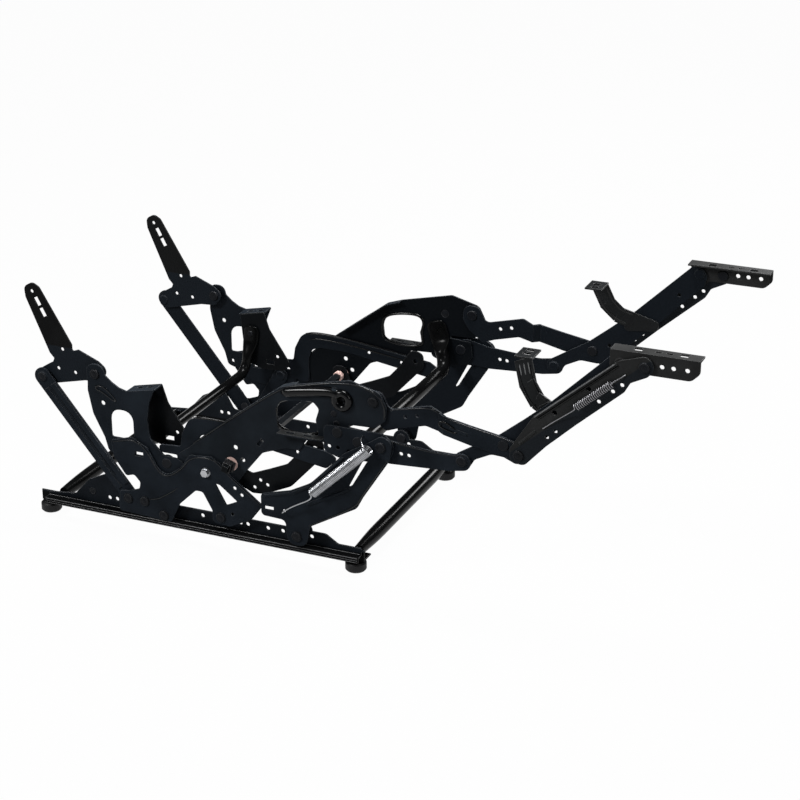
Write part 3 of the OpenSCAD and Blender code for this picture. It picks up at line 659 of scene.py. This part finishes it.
    @staticmethod
    def settle(obj: Object, name: str, smooth: float = SMOOTH_PLATE) -> None:
        """Puts the place into the mesh, cleans it, smooths it by angle and names it.

        Args:
            obj: The mesh object.
            name: Name of the piece.
            smooth: Angle in degrees under which faces are smoothed.
        """
        Bench.take(obj)
        Bench.apply()
        bpy.ops.object.mode_set(mode="EDIT")
        bpy.ops.mesh.select_all(action="SELECT")
        bpy.ops.mesh.remove_doubles(threshold=WELD)
        bpy.ops.mesh.normals_make_consistent(inside=False)
        bpy.ops.object.mode_set(mode="OBJECT")
        bpy.ops.object.shade_smooth_by_angle(angle=math.radians(smooth))
        obj.name = name
        obj.data.name = name
        Bench.clear()


@dataclass
class SpringShape:
    """A tension spring with a coil and two hooked legs, as points in side view millimetres.

    A knee is a bend: its arriving handle and its end, after a first one also a leaving handle.
    """

    piece: str
    body: str
    low: Point
    high: Point
    wire: float
    outer: float
    turns: int
    low_knees: Sequence[Knee]
    high_knees: Sequence[Knee]
    leave: float
    finish: Finish
    rings: int = 20
    bend_steps: int = 14
    fineness: int = 2

    def _coil(self) -> list[Vector]:
        """Winds the coil about the line from low to high.

        Returns:
            Its points.
        """
        a, b = Vector(self.low), Vector(self.high)
        u = Vector((0.0, 1.0, 0.0))
        v = (b - a).normalized().cross(u)
        radius = (self.outer - self.wire) / 2
        count = self.turns * self.rings
        turn = math.tau / self.rings
        return [
            a + (b - a) * (i / count) + radius * (math.cos(turn * i) * u + math.sin(turn * i) * v)
            for i in range(count + 1)
        ]

    def _leg(self, end: Vector, before: Vector, knees: Sequence[Knee]) -> list[Vector]:
        """Bends a leg that leaves the coil's end.

        Args:
            end: Last point of the coil.
            before: The coil's point before it.
            knees: The leg's bends.

        Returns:
            The leg's points, without the coil's own.
        """
        handle = end + self.leave * (end - before).normalized()
        points: list[Vector] = []
        p = end
        for *leaving, r, s in knees:
            q = leaving[0] if leaving else handle
            for i in range(1, self.bend_steps + 1):
                t = i / self.bend_steps
                w = 1 - t
                points.append(w ** 3 * p + 3 * w * w * t * q + 3 * w * t * t * r + t ** 3 * s)
            p = s
        return points

    def build(self) -> None:
        """Draws the wire from the low hook to the high hook on both sides, and dresses it."""
        coil = self._coil()
        path = self._leg(coil[0], coil[1], self.low_knees)[::-1] + coil
        path += self._leg(coil[-1], coil[-2], self.high_knees)
        for side in Side:
            obj = Bench.wire(path, side, self.wire / 2, self.fineness)
            Bench.settle(obj, f"{self.piece}_wire_{side.word}", SMOOTH_WIRE)
            self.finish.dress(obj)
            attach(obj, self.body)
            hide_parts(f"{self.piece}_{side.word}")


@dataclass
class BentTube:
    """A cross tube that bends up at both ends and is pressed flat against a plate."""

    piece: str
    node: str
    low: tuple[float, float]
    top: tuple[float, float]
    wall: float
    diameter: float
    flat_width: float = 32.0
    flat_thickness: float = 6.0
    flat_run: float = 0.9
    bend: float = 28.0
    bend_gap: float = 2.0
    bend_steps: int = 10
    press_steps: int = 6
    clearance: float = 0.5
    tip_share: float = 0.7
    sides: int = 32
    crown: Sequence[tuple[float, float]] = (
        (0.4, 0.42), (1.6, 0.62), (4.0, 0.80), (8.0, 0.93), (13.0, 1.0))

    def _rings(self) -> list[Ring]:
        """Lays out the flat end and its pressing, from the top down to the bend.

        Returns:
            The rings of an upright end.
        """
        rise = math.dist(self.top, self.low)
        d, flat, thick = self.diameter, self.flat_width, self.flat_thickness
        sections = [(rise - down, flat * share, thick) for down, share in self.crown]
        press_top, press_low = rise - flat * self.flat_run, self.bend + self.bend_gap
        for step in range(self.press_steps + 1):
            t = step / self.press_steps
            s = t * t * (3 - 2 * t)
            height = press_top + (press_low - press_top) * t
            sections.append((height, flat + (d - flat) * s, thick + (d - thick) * s))
        (tip, tip_width, _), *others = sections
        riser = self.wall - d / 2 - self.clearance
        rings = [((0.0, self.wall - thick / 2, tip), (tip_width, thick * self.tip_share, 1.0))]
        for height, width, depth in others:
            near = self.wall - depth / 2
            y = min(near, max(riser, near - self.clearance))
            rings.append(((0.0, y, height), (width, depth, 1.0)))
        return rings + [((0.0, riser, self.bend), (d, d, 1.0))]

    def build(self) -> None:
        """Extrudes one half to the middle plane, mirrors it, leans the tube and dresses it."""
        rings = self._rings()
        obj = Bench.loft(rings, self.sides)
        turn_y = rings[-1][0][1] - self.bend
        for _ in range(self.bend_steps):
            bpy.ops.mesh.extrude_edges_move(TRANSFORM_OT_translate={"value": (0.0, 0.0, 0.0)})
            bpy.ops.transform.rotate(
                value=math.radians(90.0 / self.bend_steps), orient_axis="X",
                center_override=(0.0, turn_y * MM, self.bend * MM))
        bpy.ops.mesh.extrude_edges_move(
            TRANSFORM_OT_translate={"value": (0.0, -turn_y * MM, 0.0)})
        Bench.mirror_half(obj)
        lean = math.atan2(self.top[0] - self.low[0], self.top[1] - self.low[1])
        obj.rotation_euler = (0.0, lean, 0.0)
        obj.location = place(self.low[0], 0.0, self.low[1])
        Bench.settle(obj, self.piece, SMOOTH_TUBE)
        Finish.TUBE_ENAMEL.dress(obj)
        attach(obj, "carriage")
        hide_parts(self.node)


@dataclass
class BaseTube:
    """A tube across the base, pressed narrow at both ends where the rails hold it.

    A section is its y, its width and its height.
    """

    piece: str
    node: str
    x: float
    z: float = 10.0
    sides: int = 36
    sections: Sequence[Point] = (
        (212.0, 19.0, 22.0), (198.0, 20.5, 23.5), (182.0, 22.5, 25.0), (164.0, 24.8, 26.2),
        (144.0, 26.6, 27.0), (120.0, 27.4, 27.4), (0.0, 27.4, 27.4))

    def build(self) -> None:
        """Extrudes one half to the middle plane, mirrors it, places the tube and dresses it."""
        rings = [((0.0, y, 0.0), (width, 1.0, height)) for y, width, height in self.sections]
        obj = Bench.loft(rings, self.sides, math.pi / 2)
        Bench.mirror_half(obj)
        obj.location = place(self.x, 0.0, self.z)
        Bench.settle(obj, self.piece, SMOOTH_TUBE)
        Finish.TUBE_ENAMEL.dress(obj)
        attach(obj, "base")
        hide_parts(self.node)


@dataclass(frozen=True)
class Roll:
    """One round edge, rib, crease or painted line of highlight or shade on a plate's face, as side
    view points.

    A point may give a y of its own after x and z. What lies inside the cut is taken away.
    """

    face: float
    radius: float
    points: Sequence[tuple[float, ...]]
    closed: bool = False
    cut: float | None = None
    rounds: int = 3
    corner: float = 0.25

    def eased(self) -> list[Vector]:
        """Rounds the corners of the path by cutting them again and again.

        Returns:
            Points in side view millimetres.
        """
        path = [Vector((p[0], p[2] if len(p) > 2 else self.face, p[1])) for p in self.points]
        for _ in range(self.rounds):
            ahead = path[1:] + path[:1] if self.closed else path[1:]
            cut = [
                a.lerp(b, share) for a, b in zip(path, ahead)
                for share in (self.corner, 1 - self.corner)]
            path = cut if self.closed else [path[0]] + cut[1:-1] + [path[-1]]
        return path


@dataclass
class EdgeRolls:
    """The rolled edges, pressed lines and painted lines of highlight or shade of one plate, on
    both sides of the mechanism.
    """

    piece: str
    body: str
    rolls: Sequence[Roll]
    finish: Finish = Finish.ROLL_ENAMEL
    fineness: int = 3
    tip: float = 0.35

    def _mesh(self, roll: Roll, side: Side) -> Object:
        """Draws one roll and cuts off what the plate hides.

        Args:
            roll: The roll.
            side: The side of the mechanism.

        Returns:
            The roll's mesh object.
        """
        tip = 1.0 if roll.closed else self.tip
        obj = Bench.wire(roll.eased(), side, roll.radius, self.fineness, roll.closed, tip)
        if roll.cut is not None:
            bpy.ops.object.mode_set(mode="EDIT")
            bpy.ops.mesh.select_all(action="SELECT")
            bpy.ops.mesh.bisect(
                plane_co=(0.0, roll.cut * MM * side.value, 0.0),
                plane_no=(0.0, float(side.value), 0.0), use_fill=True, clear_inner=True)
            bpy.ops.object.mode_set(mode="OBJECT")
        return obj

    def build(self) -> None:
        """Builds the rolls of both sides as one piece and dresses it."""
        obj = Bench.join([self._mesh(roll, side) for roll in self.rolls for side in Side])
        Bench.settle(obj, self.piece, SMOOTH_WIRE)
        self.finish.dress(obj)
        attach(obj, self.body)


@dataclass
class RivetCaps:
    """Stamped caps on the rivet heads of one body: a rim, a ring groove and a low button.

    A spot is x, y, z and radius. A step is an inset as a share of the radius, and its rise.
    """

    body: str
    spots: Sequence[tuple[float, float, float, float]]
    height: float = 0.9
    sides: int = 28
    round_over: float = 0.18
    steps: Sequence[tuple[float, float]] = (
        (0.22, 0.0), (0.06, -0.35), (0.14, 0.0), (0.06, 0.30), (0.25, 0.12))

    @property
    def piece(self) -> str:
        """The name of the piece."""
        return f"{self.body}_rivet_caps"

    def _model(self, radius: float) -> Object:
        """Models one cap about the y axis, standing on y = 0.

        Args:
            radius: Radius of the cap in millimetres.

        Returns:
            The cap.
        """
        Bench.clear()
        bpy.ops.mesh.primitive_cylinder_add(
            vertices=self.sides, radius=radius * MM, depth=self.height * MM,
            location=(0.0, 0.0, self.height / 2 * MM))
        obj = Bench.active()
        Bench.apply()
        Bench.pick_faces(obj, lambda centre, normal: normal.z > FACING)
        for share, rise in self.steps:
            Bench.inset(radius * share, rise)
        Bench.bevel(obj, self.round_over)
        Bench.take(obj)
        obj.rotation_euler = (-math.pi / 2, 0.0, 0.0)
        Bench.apply()
        return obj

    def build(self) -> None:
        """Copies the cap to each head on both sides, joins the copies and dresses them."""
        models = {r: self._model(r) for r in sorted({spot[3] for spot in self.spots})}
        parts = []
        for x, y, z, radius in self.spots:
            for side in Side:
                copy = models[radius].copy()
                copy.data = models[radius].data.copy()
                bpy.context.scene.collection.objects.link(copy)
                copy.location = place(x, y, z, side)
                if side is Side.RIGHT:
                    copy.rotation_euler = (0.0, 0.0, math.pi)
                Bench.take(copy)
                Bench.apply()
                parts.append(copy)
        for model in models.values():
            bpy.data.objects.remove(model)
        obj = Bench.join(parts)
        Bench.settle(obj, self.piece)
        Finish.RIVET_BLACK.dress(obj)
        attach(obj, self.body)


@dataclass
class HandleSocket:
    """The moulded collar that holds the release handle on the square shaft."""

    piece: str = "handle_socket"
    turn: float = 18.0
    inner: float = 246.0
    length: float = 15.0
    width: float = 21.0
    shaft: float = 12.0
    flange: float = 3.0
    step: float = 2.0
    play: float = 0.1
    round_over: float = 0.8

    def build(self) -> None:
        """Models the collar from a block, with flange, waist and square mouth, and dresses it."""
        Bench.clear()
        bpy.ops.mesh.primitive_cube_add(size=1.0)
        obj = Bench.active()
        obj.scale = (self.width * MM, self.flange * MM, self.width * MM)
        Bench.apply()
        Bench.pick_faces(obj, lambda centre, normal: normal.y < -FACING)
        reach = (self.length - self.flange) * MM
        mouth_wall = (self.width - 2 * self.step - self.shaft) / 2 - self.play
        for amount, move in ((self.step, -reach), (mouth_wall, reach)):
            Bench.inset(amount)
            bpy.ops.mesh.extrude_region_move(TRANSFORM_OT_translate={"value": (0.0, move, 0.0)})
        Bench.bevel(obj, self.round_over, 3)
        obj.rotation_euler = (0.0, math.radians(self.turn), 0.0)
        obj.location = place(SHAFT_AT[0], self.inner, SHAFT_AT[1], Side.RIGHT)
        Bench.settle(obj, self.piece)
        Finish.SOCKET.dress(obj)
        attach(obj, "shaft")


@dataclass
class WindowSill:
    """The shelf under the seat plate's window, with two slots, on both sides of the mechanism."""

    piece: str = "window_sills"
    columns: Sequence[float] = (440.4, 454.0, 470.0, 488.0, 504.0, 526.0)
    rows: Sequence[float] = (239.0, 243.5, 250.5, 256.1)
    height: float = 233.7
    thickness: float = 0.7
    round_over: float = 0.2
    slots: Sequence[int] = (1, 3)

    def _in_slot(self, centre: Vector, normal: Vector) -> bool:
        """Says whether a face lies over a slot.

        Args:
            centre: Centre of the face in metres.
            normal: Its normal, which doesn't matter here.

        Returns:
            Whether it does.
        """
        x, y = centre.x / MM + MID_X, abs(centre.y) / MM
        over = any(self.columns[i] < x < self.columns[i + 1] for i in self.slots)
        return over and self.rows[1] < y < self.rows[2]

    def _shelf(self, side: Side) -> Object:
        """Spreads a grid over the shelf, opens its slots and gives it thickness.

        Args:
            side: The side of the mechanism.

        Returns:
            The shelf of that side.
        """
        Bench.clear()
        across, along = len(self.columns) - 1, len(self.rows) - 1
        bpy.ops.mesh.primitive_grid_add(x_subdivisions=across, y_subdivisions=along, size=1.0)
        obj = Bench.active()
        for vertex in obj.data.vertices:
            column = round((vertex.co.x + 0.5) * across)
            row = round((vertex.co.y + 0.5) * along)
            vertex.co = place(self.columns[column], self.rows[row], self.height, side)
        Bench.pick_faces(obj, self._in_slot)
        bpy.ops.mesh.delete(type="FACE")
        bpy.ops.mesh.select_all(action="SELECT")
        bpy.ops.mesh.normals_make_consistent(inside=False)
        bpy.ops.mesh.solidify(thickness=self.thickness * MM)
        Bench.bevel(obj, self.round_over)
        return obj

    def build(self) -> None:
        """Builds both shelves as one piece and dresses it."""
        obj = Bench.join([self._shelf(side) for side in Side])
        Bench.settle(obj, self.piece)
        # The sill is painted lighter than the plate, as light falling on it from above.
        Finish.TOP_LIT_FLANGE_PAINT.dress(obj)
        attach(obj, "carriage")


@dataclass
class BushingCollar:
    """The moulded collars that hold the square shaft beside the drive cranks."""

    piece: str = "bushing_collars"
    radius: float = 10.0
    hub: float = 8.8
    hub_step: float = 0.2
    hub_rise: float = 0.9
    middle: float = 221.5
    length: float = 8.0
    sides: int = 36
    round_over: float = 0.5

    def _collar(self, side: Side) -> Object:
        """Models one collar from a round blank: a rim, a step and a hub on each face.

        Args:
            side: The side of the mechanism.

        Returns:
            The collar of that side.
        """
        Bench.clear()
        bpy.ops.mesh.primitive_cylinder_add(
            vertices=self.sides, radius=self.radius * MM, depth=self.length * MM)
        obj = Bench.active()
        Bench.pick_faces(obj, lambda centre, normal: abs(normal.z) > FACING)
        Bench.inset(self.radius - self.hub)
        Bench.inset(self.hub_step, self.hub_rise)
        Bench.bevel(obj, self.round_over, 3)
        obj.rotation_euler = (math.pi / 2, 0.0, 0.0)
        obj.location = place(SHAFT_AT[0], self.middle, SHAFT_AT[1], side)
        Bench.take(obj)
        Bench.apply()
        return obj

    def build(self) -> None:
        """Builds the collars of both sides as one piece and dresses it."""
        obj = Bench.join([self._collar(side) for side in Side])
        Bench.settle(obj, self.piece)
        Finish.NYLON.dress(obj)
        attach(obj, "shaft")


@dataclass
class Paintwork:
    """Which finish each CAD node takes, by the start of its name."""

    starts: Sequence[tuple[Finish, tuple[str, ...]]] = (
        (Finish.ZINC, ("upright_bolts", "assist_spring", "footrest_spring")),
        (Finish.SEAT_PAINT, ("seat_plate",)),
        (Finish.BEAM_PAINT, ("drive_crank", "drive_shaft", "rear_saddle")),
        (Finish.BLADE_PAINT, ("back_bracket",)),
        (Finish.RAIL_PAINT, ("rail", "foot_bracket")),
        (Finish.ARM_PAINT, ("mid_ottoman_arm",)),
        (Finish.BRACKET_PAINT, ("footrest_bracket",)),
        (Finish.LOWER_PAINT, ("lower_ottoman_link",)),
        (Finish.RIVET_BLACK, (
            "base_pivots", "carriage_rivets", "ottoman_pivots", "footrest_pivots",
            "upright_sleeves")),
        (Finish.TUBE_ENAMEL, (
            "front_base_tube", "rear_base_tube", "front_cross_tube", "rear_cross_tube")),
        (Finish.FOOT, ("floor_feet",)),
        (Finish.NYLON, ("shaft_bushings",)),
    )

    def finish_of(self, node: str) -> Finish:
        """The finish of one node, link paint where no other is named."""
        named = (finish for finish, names in self.starts if node.startswith(names))
        return next(named, Finish.LINK_PAINT)

    def apply(self, nodes: dict[str, Object]) -> None:
        """Dresses every CAD node.

        Args:
            nodes: The nodes by name.
        """
        for name, obj in nodes.items():
            self.finish_of(name).dress(obj)
            LOG.info("dressed %s", name)


class LampRole(Enum):
    """The studio's lamps."""

    OVERHEAD = "overhead"
    KEY = "key"
    FILL = "fill"
    BACK = "back"


@dataclass
class Lamp:
    """One soft lamp that looks at the object."""

    role: LampRole
    at: Point
    size: float
    watts: float
    target: Point = (0.0, 0.0, 0.25)

    def build(self) -> None:
        """Hangs the lamp."""
        data = bpy.data.lights.new(f"lamp_{self.role.value}", "AREA")
        data.shape = "DISK"
        data.size = self.size
        data.energy = self.watts
        obj = bpy.data.objects.new(data.name, data)
        obj.location = self.at
        way = Vector(self.target) - Vector(self.at)
        obj.rotation_euler = way.to_track_quat("-Z", "Y").to_euler()
        bpy.context.scene.collection.objects.link(obj)


@dataclass
class Studio:
    """White floor, soft lamps and the camera at the photograph's angle."""

    eye: Point = (1.369043, -3.168564, 1.678084)
    right: Point = (0.91957354, 0.39291794, 0.0)
    up: Point = (-0.15074362, 0.35279592, 0.92347788)
    back: Point = (0.36285103, -0.84920583, 0.38365166)
    lens: float = 91.05
    sensor: float = 36.0
    sight: float = 200.0
    floor_half: float = 40.0
    floor_drop: float = 0.0005
    floor_tone: Colour = (0.38, 0.38, 0.38)
    floor_white: float = 0.975
    world_colour: Colour = (0.95, 0.97, 1.0)
    world_level: float = 0.06
    lamps: Sequence[Lamp] = field(default_factory=lambda: (
        Lamp(LampRole.OVERHEAD, (0.1, 0.2, 2.6), 1.0, 105.0),
        Lamp(LampRole.KEY, (-1.8, -2.2, 2.2), 0.8, 68.0),
        Lamp(LampRole.FILL, (2.6, -1.6, 1.6), 1.2, 16.0),
        Lamp(LampRole.BACK, (0.6, 3.0, 1.8), 1.0, 45.0),
    ))

    def _camera(self) -> None:
        """Sets the camera."""
        data = bpy.data.cameras.new("photo_camera")
        data.lens = self.lens
        data.sensor_width = self.sensor
        data.clip_end = self.sight
        obj = bpy.data.objects.new("photo_camera", data)
        columns = Matrix((self.right, self.up, self.back)).transposed().to_4x4()
        obj.matrix_world = Matrix.Translation(Vector(self.eye)) @ columns
        bpy.context.scene.collection.objects.link(obj)
        bpy.context.scene.camera = obj

    def _floor(self) -> None:
        """Lays a floor that keeps the shadow and shows white to the camera and in metal."""
        Bench.clear()
        bpy.ops.mesh.primitive_plane_add(
            size=2 * self.floor_half, location=(0.0, 0.0, -self.floor_drop))
        floor = Bench.active()
        floor.name = "studio_floor"
        graph = Graph("studio_floor")
        camera, glossy, through = (
            graph.add("ShaderNodeLightPath", {}, {}, f"Is {kind} Ray")
            for kind in ("Camera", "Glossy", "Transmission"))
        seen = (camera + glossy + through).clamped() * self.floor_white
        matt = graph.add("ShaderNodeBsdfDiffuse", {}, {"Color": rgba(self.floor_tone)}, "BSDF")
        white = {"Color": (1.0, 1.0, 1.0, 1.0), "Strength": 1.0}
        glow = graph.add("ShaderNodeEmission", {}, white, "Emission")
        both = graph.add("ShaderNodeMixShader", {}, {0: seen, 1: matt, 2: glow}, "Shader")
        graph.add("ShaderNodeOutputMaterial", {}, {"Surface": both})
        floor.data.materials.append(graph.material)
        floor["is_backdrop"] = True
        Bench.clear()

    def _world(self) -> None:
        """Lights the room evenly."""
        world = bpy.data.worlds.new("studio_world")
        world.use_nodes = True
        background = world.node_tree.nodes["Background"]
        background.inputs["Color"].default_value = rgba(self.world_colour)
        background.inputs["Strength"].default_value = self.world_level
        bpy.context.scene.world = world

    def build(self) -> None:
        """Builds floor, world, lamps and camera."""
        bpy.context.scene.view_settings.view_transform = "Standard"
        self._floor()
        self._world()
        for lamp in self.lamps:
            lamp.build()
        self._camera()


def springs() -> list[SpringShape]:
    """Sets out the assist spring on the front swing link and the spring in the footrest link.

    Returns:
        The two springs.
    """
    outer, clear, rest_outer, rest_clear, lift = 21.0, 3.0, 14.0, 0.5, 1.2
    coil_y = Y_SWING + PLATE + clear + outer / 2
    rest_y = Y_OUTER + PLATE + rest_clear + rest_outer / 2
    face = Y_OUTER + PLATE + GAP + lift
    run = Vector((108, 0, 102)).normalized()
    rest_run = Vector((56, 0, 48.5)).normalized()
    rise = Vector((0, 1, 0))
    knee = Vector((455, coil_y, 87))
    hook = Vector((450, Y_SWING + PLATE + GAP, 82))
    ring = Vector((603, Y_OUTER + PLATE + GAP, 252))
    low_end = Vector((930, face, 322))
    high_end = Vector((1068, face, 440))
    return [
        SpringShape(
            "assist_spring", "front_swing", (514, coil_y, 135), (622, coil_y, 237),
            wire=2.7, outer=outer, turns=46, leave=14.0, finish=Finish.ZINC,
            low_knees=((knee + 34 * run, knee), (knee - 6 * run, hook + 6 * rise, hook)),
            high_knees=((ring + 14 * rise, ring),)),
        SpringShape(
            "footrest_spring", "lower_ottoman", (988, rest_y, 372), (1047, rest_y, 423),
            wire=2.0, outer=rest_outer, turns=20, leave=3.0, finish=Finish.DULL_ZINC,
            low_knees=((low_end + 40 * rest_run, low_end),),
            high_knees=((high_end - 12 * rest_run, high_end),)),
    ]


def tubes() -> list[BentTube | BaseTube]:
    """Sets out the tubes across the mechanism.

    Returns:
        The two tubes of the base and the two bent cross tubes of the carriage.
    """
    return [
        BaseTube("front_base_pipe", "front_base_tube", 577.0),
        BaseTube("rear_base_pipe", "rear_base_tube", -38.0),
        BentTube(
            "rear_cross_bend", "rear_cross_tube", (145, 137), (159, 236),
            wall=Y_SEAT - 31.0, diameter=20.0),
        BentTube(
            "front_cross_bend", "front_cross_tube", (569, 203), (540, 292),
            wall=Y_SEAT, diameter=25.4, flat_width=40.0),
    ]


def edge_rolls() -> list[EdgeRolls]:
    """Sets out the rolled edges, beads and ribs of the plates, with pale rolls as painted
    highlights on folds, lips and presses, and dark rolls as painted shade in a groove and under a
    lip.

    Returns:
        The rolls, plate by plate.
    """
    inner, seat, link, lower, swing = (
        y + PLATE for y in (Y_INNER, Y_SEAT, Y_MID, Y_OUTER, Y_SWING))
    web = Y_BACK + PLATE
    lip, seat_cut = web + 16.0, Y_SEAT + 0.5
    boss_x, boss_z, boss_r, boss_points = 560.0, 308.0, 13.5, 16
    around = [math.tau * i / boss_points for i in range(boss_points)]
    boss = [(boss_x + boss_r * math.cos(a), boss_z + boss_r * math.sin(a)) for a in around]
    window = [
        (431, 230.5), (517, 230.5), (511, 262), (518, 285), (503, 300), (439, 291), (427, 270)]
    arm_press = ((885.8, 396.4, 213.6), (882.3, 406.3, 210.6), (878.7, 416.2, 207.6))
    press_x, press_z = 7.5, 2.7
    folds = ((lip, 1.3, 7.6), (lip, 1.1, 3.2), (lip, 1.2, -0.6), (web + 1.0, 1.8, 9.2))
    return [
        EdgeRolls("seat_edge_rolls", "carriage", [
            Roll(seat, 1.9, [
                (262, 175), (330, 229), (439, 310.5), (470, 320.5), (574, 344.5), (627, 331),
                (640.5, 306), (638.5, 284)])]),
        EdgeRolls("seat_beads", "carriage", [
            Roll(seat, 9.4, [
                (443, 304), (463, 309.5), (500, 316), (532, 320.5), (548, 320), (558, 314)],
                cut=seat_cut),
            Roll(seat + 1.5, 7.2, boss, closed=True, cut=seat_cut),
            Roll(Y_SEAT, 3.0, window, closed=True),
            Roll(Y_SEAT - 2.0, 2.7, [(262, 223.5), (292, 228), (360, 224.5), (490, 208.5)]),
            Roll(Y_SEAT - 3.0, 1.6, [(270, 212), (292, 217.5), (360, 214), (484, 198.5)]),
        ], Finish.DARK_ENAMEL_AND_SHADE),
        EdgeRolls("upright_edge_rolls", "base", [
            Roll(link, 1.6, [
                (96, 152), (138, 165), (166, 149), (186, 113), (205, 99), (238, 121), (258, 150),
                (300, 154), (317, 144), (336, 125), (398, 77.5)]),
            Roll(link, 1.3, [(164.5, 48.1), (185.8, 52.1), (207.5, 66.2), (229, 82)])]),
        EdgeRolls("rear_plate_ribs", "carriage", [
            Roll(seat, 1.7, [
                (64.4, 257), (82.1, 256.3), (105.9, 234.5), (102.7, 230.1), (79.7, 245.3),
                (63.9, 249.1)], closed=True)]),
        # A dark roll in the groove: painted shade in the recess.
        EdgeRolls("control_groove_shade", "back_control", [
            Roll(Y_SEAT - 1.9, 1.6, [(-34.8, 235.4), (91.4, 80.2)])], Finish.DARK_ENAMEL_AND_SHADE),
        EdgeRolls("swing_edge_rolls", "front_swing", [
            Roll(swing, 1.6, [(497, 61), (590, 115), (602, 138), (651, 216)])]),
        EdgeRolls("link_edge_rolls", "front_ottoman", [
            Roll(link, 1.2, [(754, 308), (800, 299.5), (852, 290.5), (900, 279)]),
            Roll(inner, 1.2, [(648, 302), (721, 319.5), (738, 311)])]),
        EdgeRolls("link_ribs", "front_ottoman", [
            Roll(link, 1.7, [
                (742, 301), (755, 301.5), (775, 289), (772, 283.5), (754, 288), (743, 293)],
                closed=True)], Finish.DARK_ENAMEL_AND_SHADE),
        EdgeRolls("arm_edge_rolls", "upper_ottoman", [
            Roll(0.0, 2.6, [
                (938, 360.2, 233), (917.4, 368, 226), (900.5, 387.6, 217), (888.3, 421.7, 206)]),
            Roll(0.0, 2.6, [
                (930, 339.8, 233), (904.6, 350, 226), (881.5, 376.4, 217), (867.7, 414.3, 206)]),
        ], Finish.DARK_ENAMEL_AND_SHADE),
        # Pale rolls on the arm's pressing: painted highlights, as glints.
        EdgeRolls("arm_press_highlights", "upper_ottoman", [
            Roll(0.0, 1.2, [(x + press_x * i, z + press_z * i, y) for x, z, y in arm_press])
            for i in (1, 0, -1)], Finish.PAINTED_HIGHLIGHT_STEEL),
        # A pale roll on the lip: a painted highlight along its top.
        EdgeRolls("lower_link_lip_highlight", "lower_ottoman", [
            Roll(lower + 4.6, 1.1, [(915, 341), (919, 344.4), (1046.4, 453.2), (1050.4, 456.6)]),
        ], Finish.PAINTED_HIGHLIGHT_STEEL),
        # A dark roll below the lip: a painted shadow under it.
        EdgeRolls("lower_link_lip_shadow", "lower_ottoman", [
            Roll(lower, 1.5, [(919.2, 336.2), (923.2, 339.6), (1050.4, 448.4), (1054.4, 451.8)]),
        ], Finish.DARK_ENAMEL_AND_SHADE),
        EdgeRolls("rear_link_edge_rolls", "rear_ottoman", [
            Roll(link, 1.2, [(606, 257), (650, 247.5), (752, 239.5), (797, 246.5)])]),
        # Pale rolls on the rail's fold lines: painted highlights on the bends.
        EdgeRolls("rail_fold_highlights", "base", [
            Roll(y, radius, [(-60, z), (586, z)]) for y, radius, z in folds], Finish.PAINTED_HIGHLIGHT_STEEL),
    ]


def rivet_caps() -> list[RivetCaps]:
    """Sets out the caps on the outer heads of the pivots.

    Returns:
        The caps, body by body.
    """
    inner, seat, mid, outer = (y + PLATE + HEAD for y in (Y_INNER, Y_SEAT, Y_MID, Y_OUTER))
    front, swing = (y + PLATE + GAP + HEAD for y in (Y_OUTER, Y_SWING))
    r = HEAD_RADIUS
    return [
        RivetCaps("base", [
            (474, swing, 36, r), (157.6, mid, 42.5, r), (122.6, mid, 42.5, r), (197, mid, 21, r),
            (316, mid, 39, r), (35, Y_BACK + PLATE, 33, 7.0)]),
        RivetCaps("carriage", [
            (618, seat, 314, r), (638, swing, 238, r), (62.8, seat, 278.8, r),
            (560, Y_SEAT + 0.4, 308, 7.3)]),
        RivetCaps("front_ottoman", [(888, front, 265, r)]),
        RivetCaps("rear_ottoman", [(784, mid, 234, r)]),
        RivetCaps("lower_ottoman", [(1098, outer, 456, r)]),
        RivetCaps("back_control", [(-52.8, inner, 254.3, r)]),
    ]


def write_sizes() -> None:
    boxes = {"cad": CAD_BOX, "visual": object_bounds()}
    {name: [list(corner) for corner in box] for name, box in boxes.items()}


def main() -> None:
    """Builds and dresses the mechanism, piece by piece."""
    logging.basicConfig(level=logging.INFO)
    Studio().build()
    Paintwork().apply(frame["nodes"])
    trim = [HandleSocket(), WindowSill(), BushingCollar()]
    for part in [*springs(), *tubes(), *edge_rolls(), *rivet_caps(), *trim]:
        part.build()
        LOG.info("built %s", part.piece)
    write_sizes()


if __name__ == "__main__":
    main()
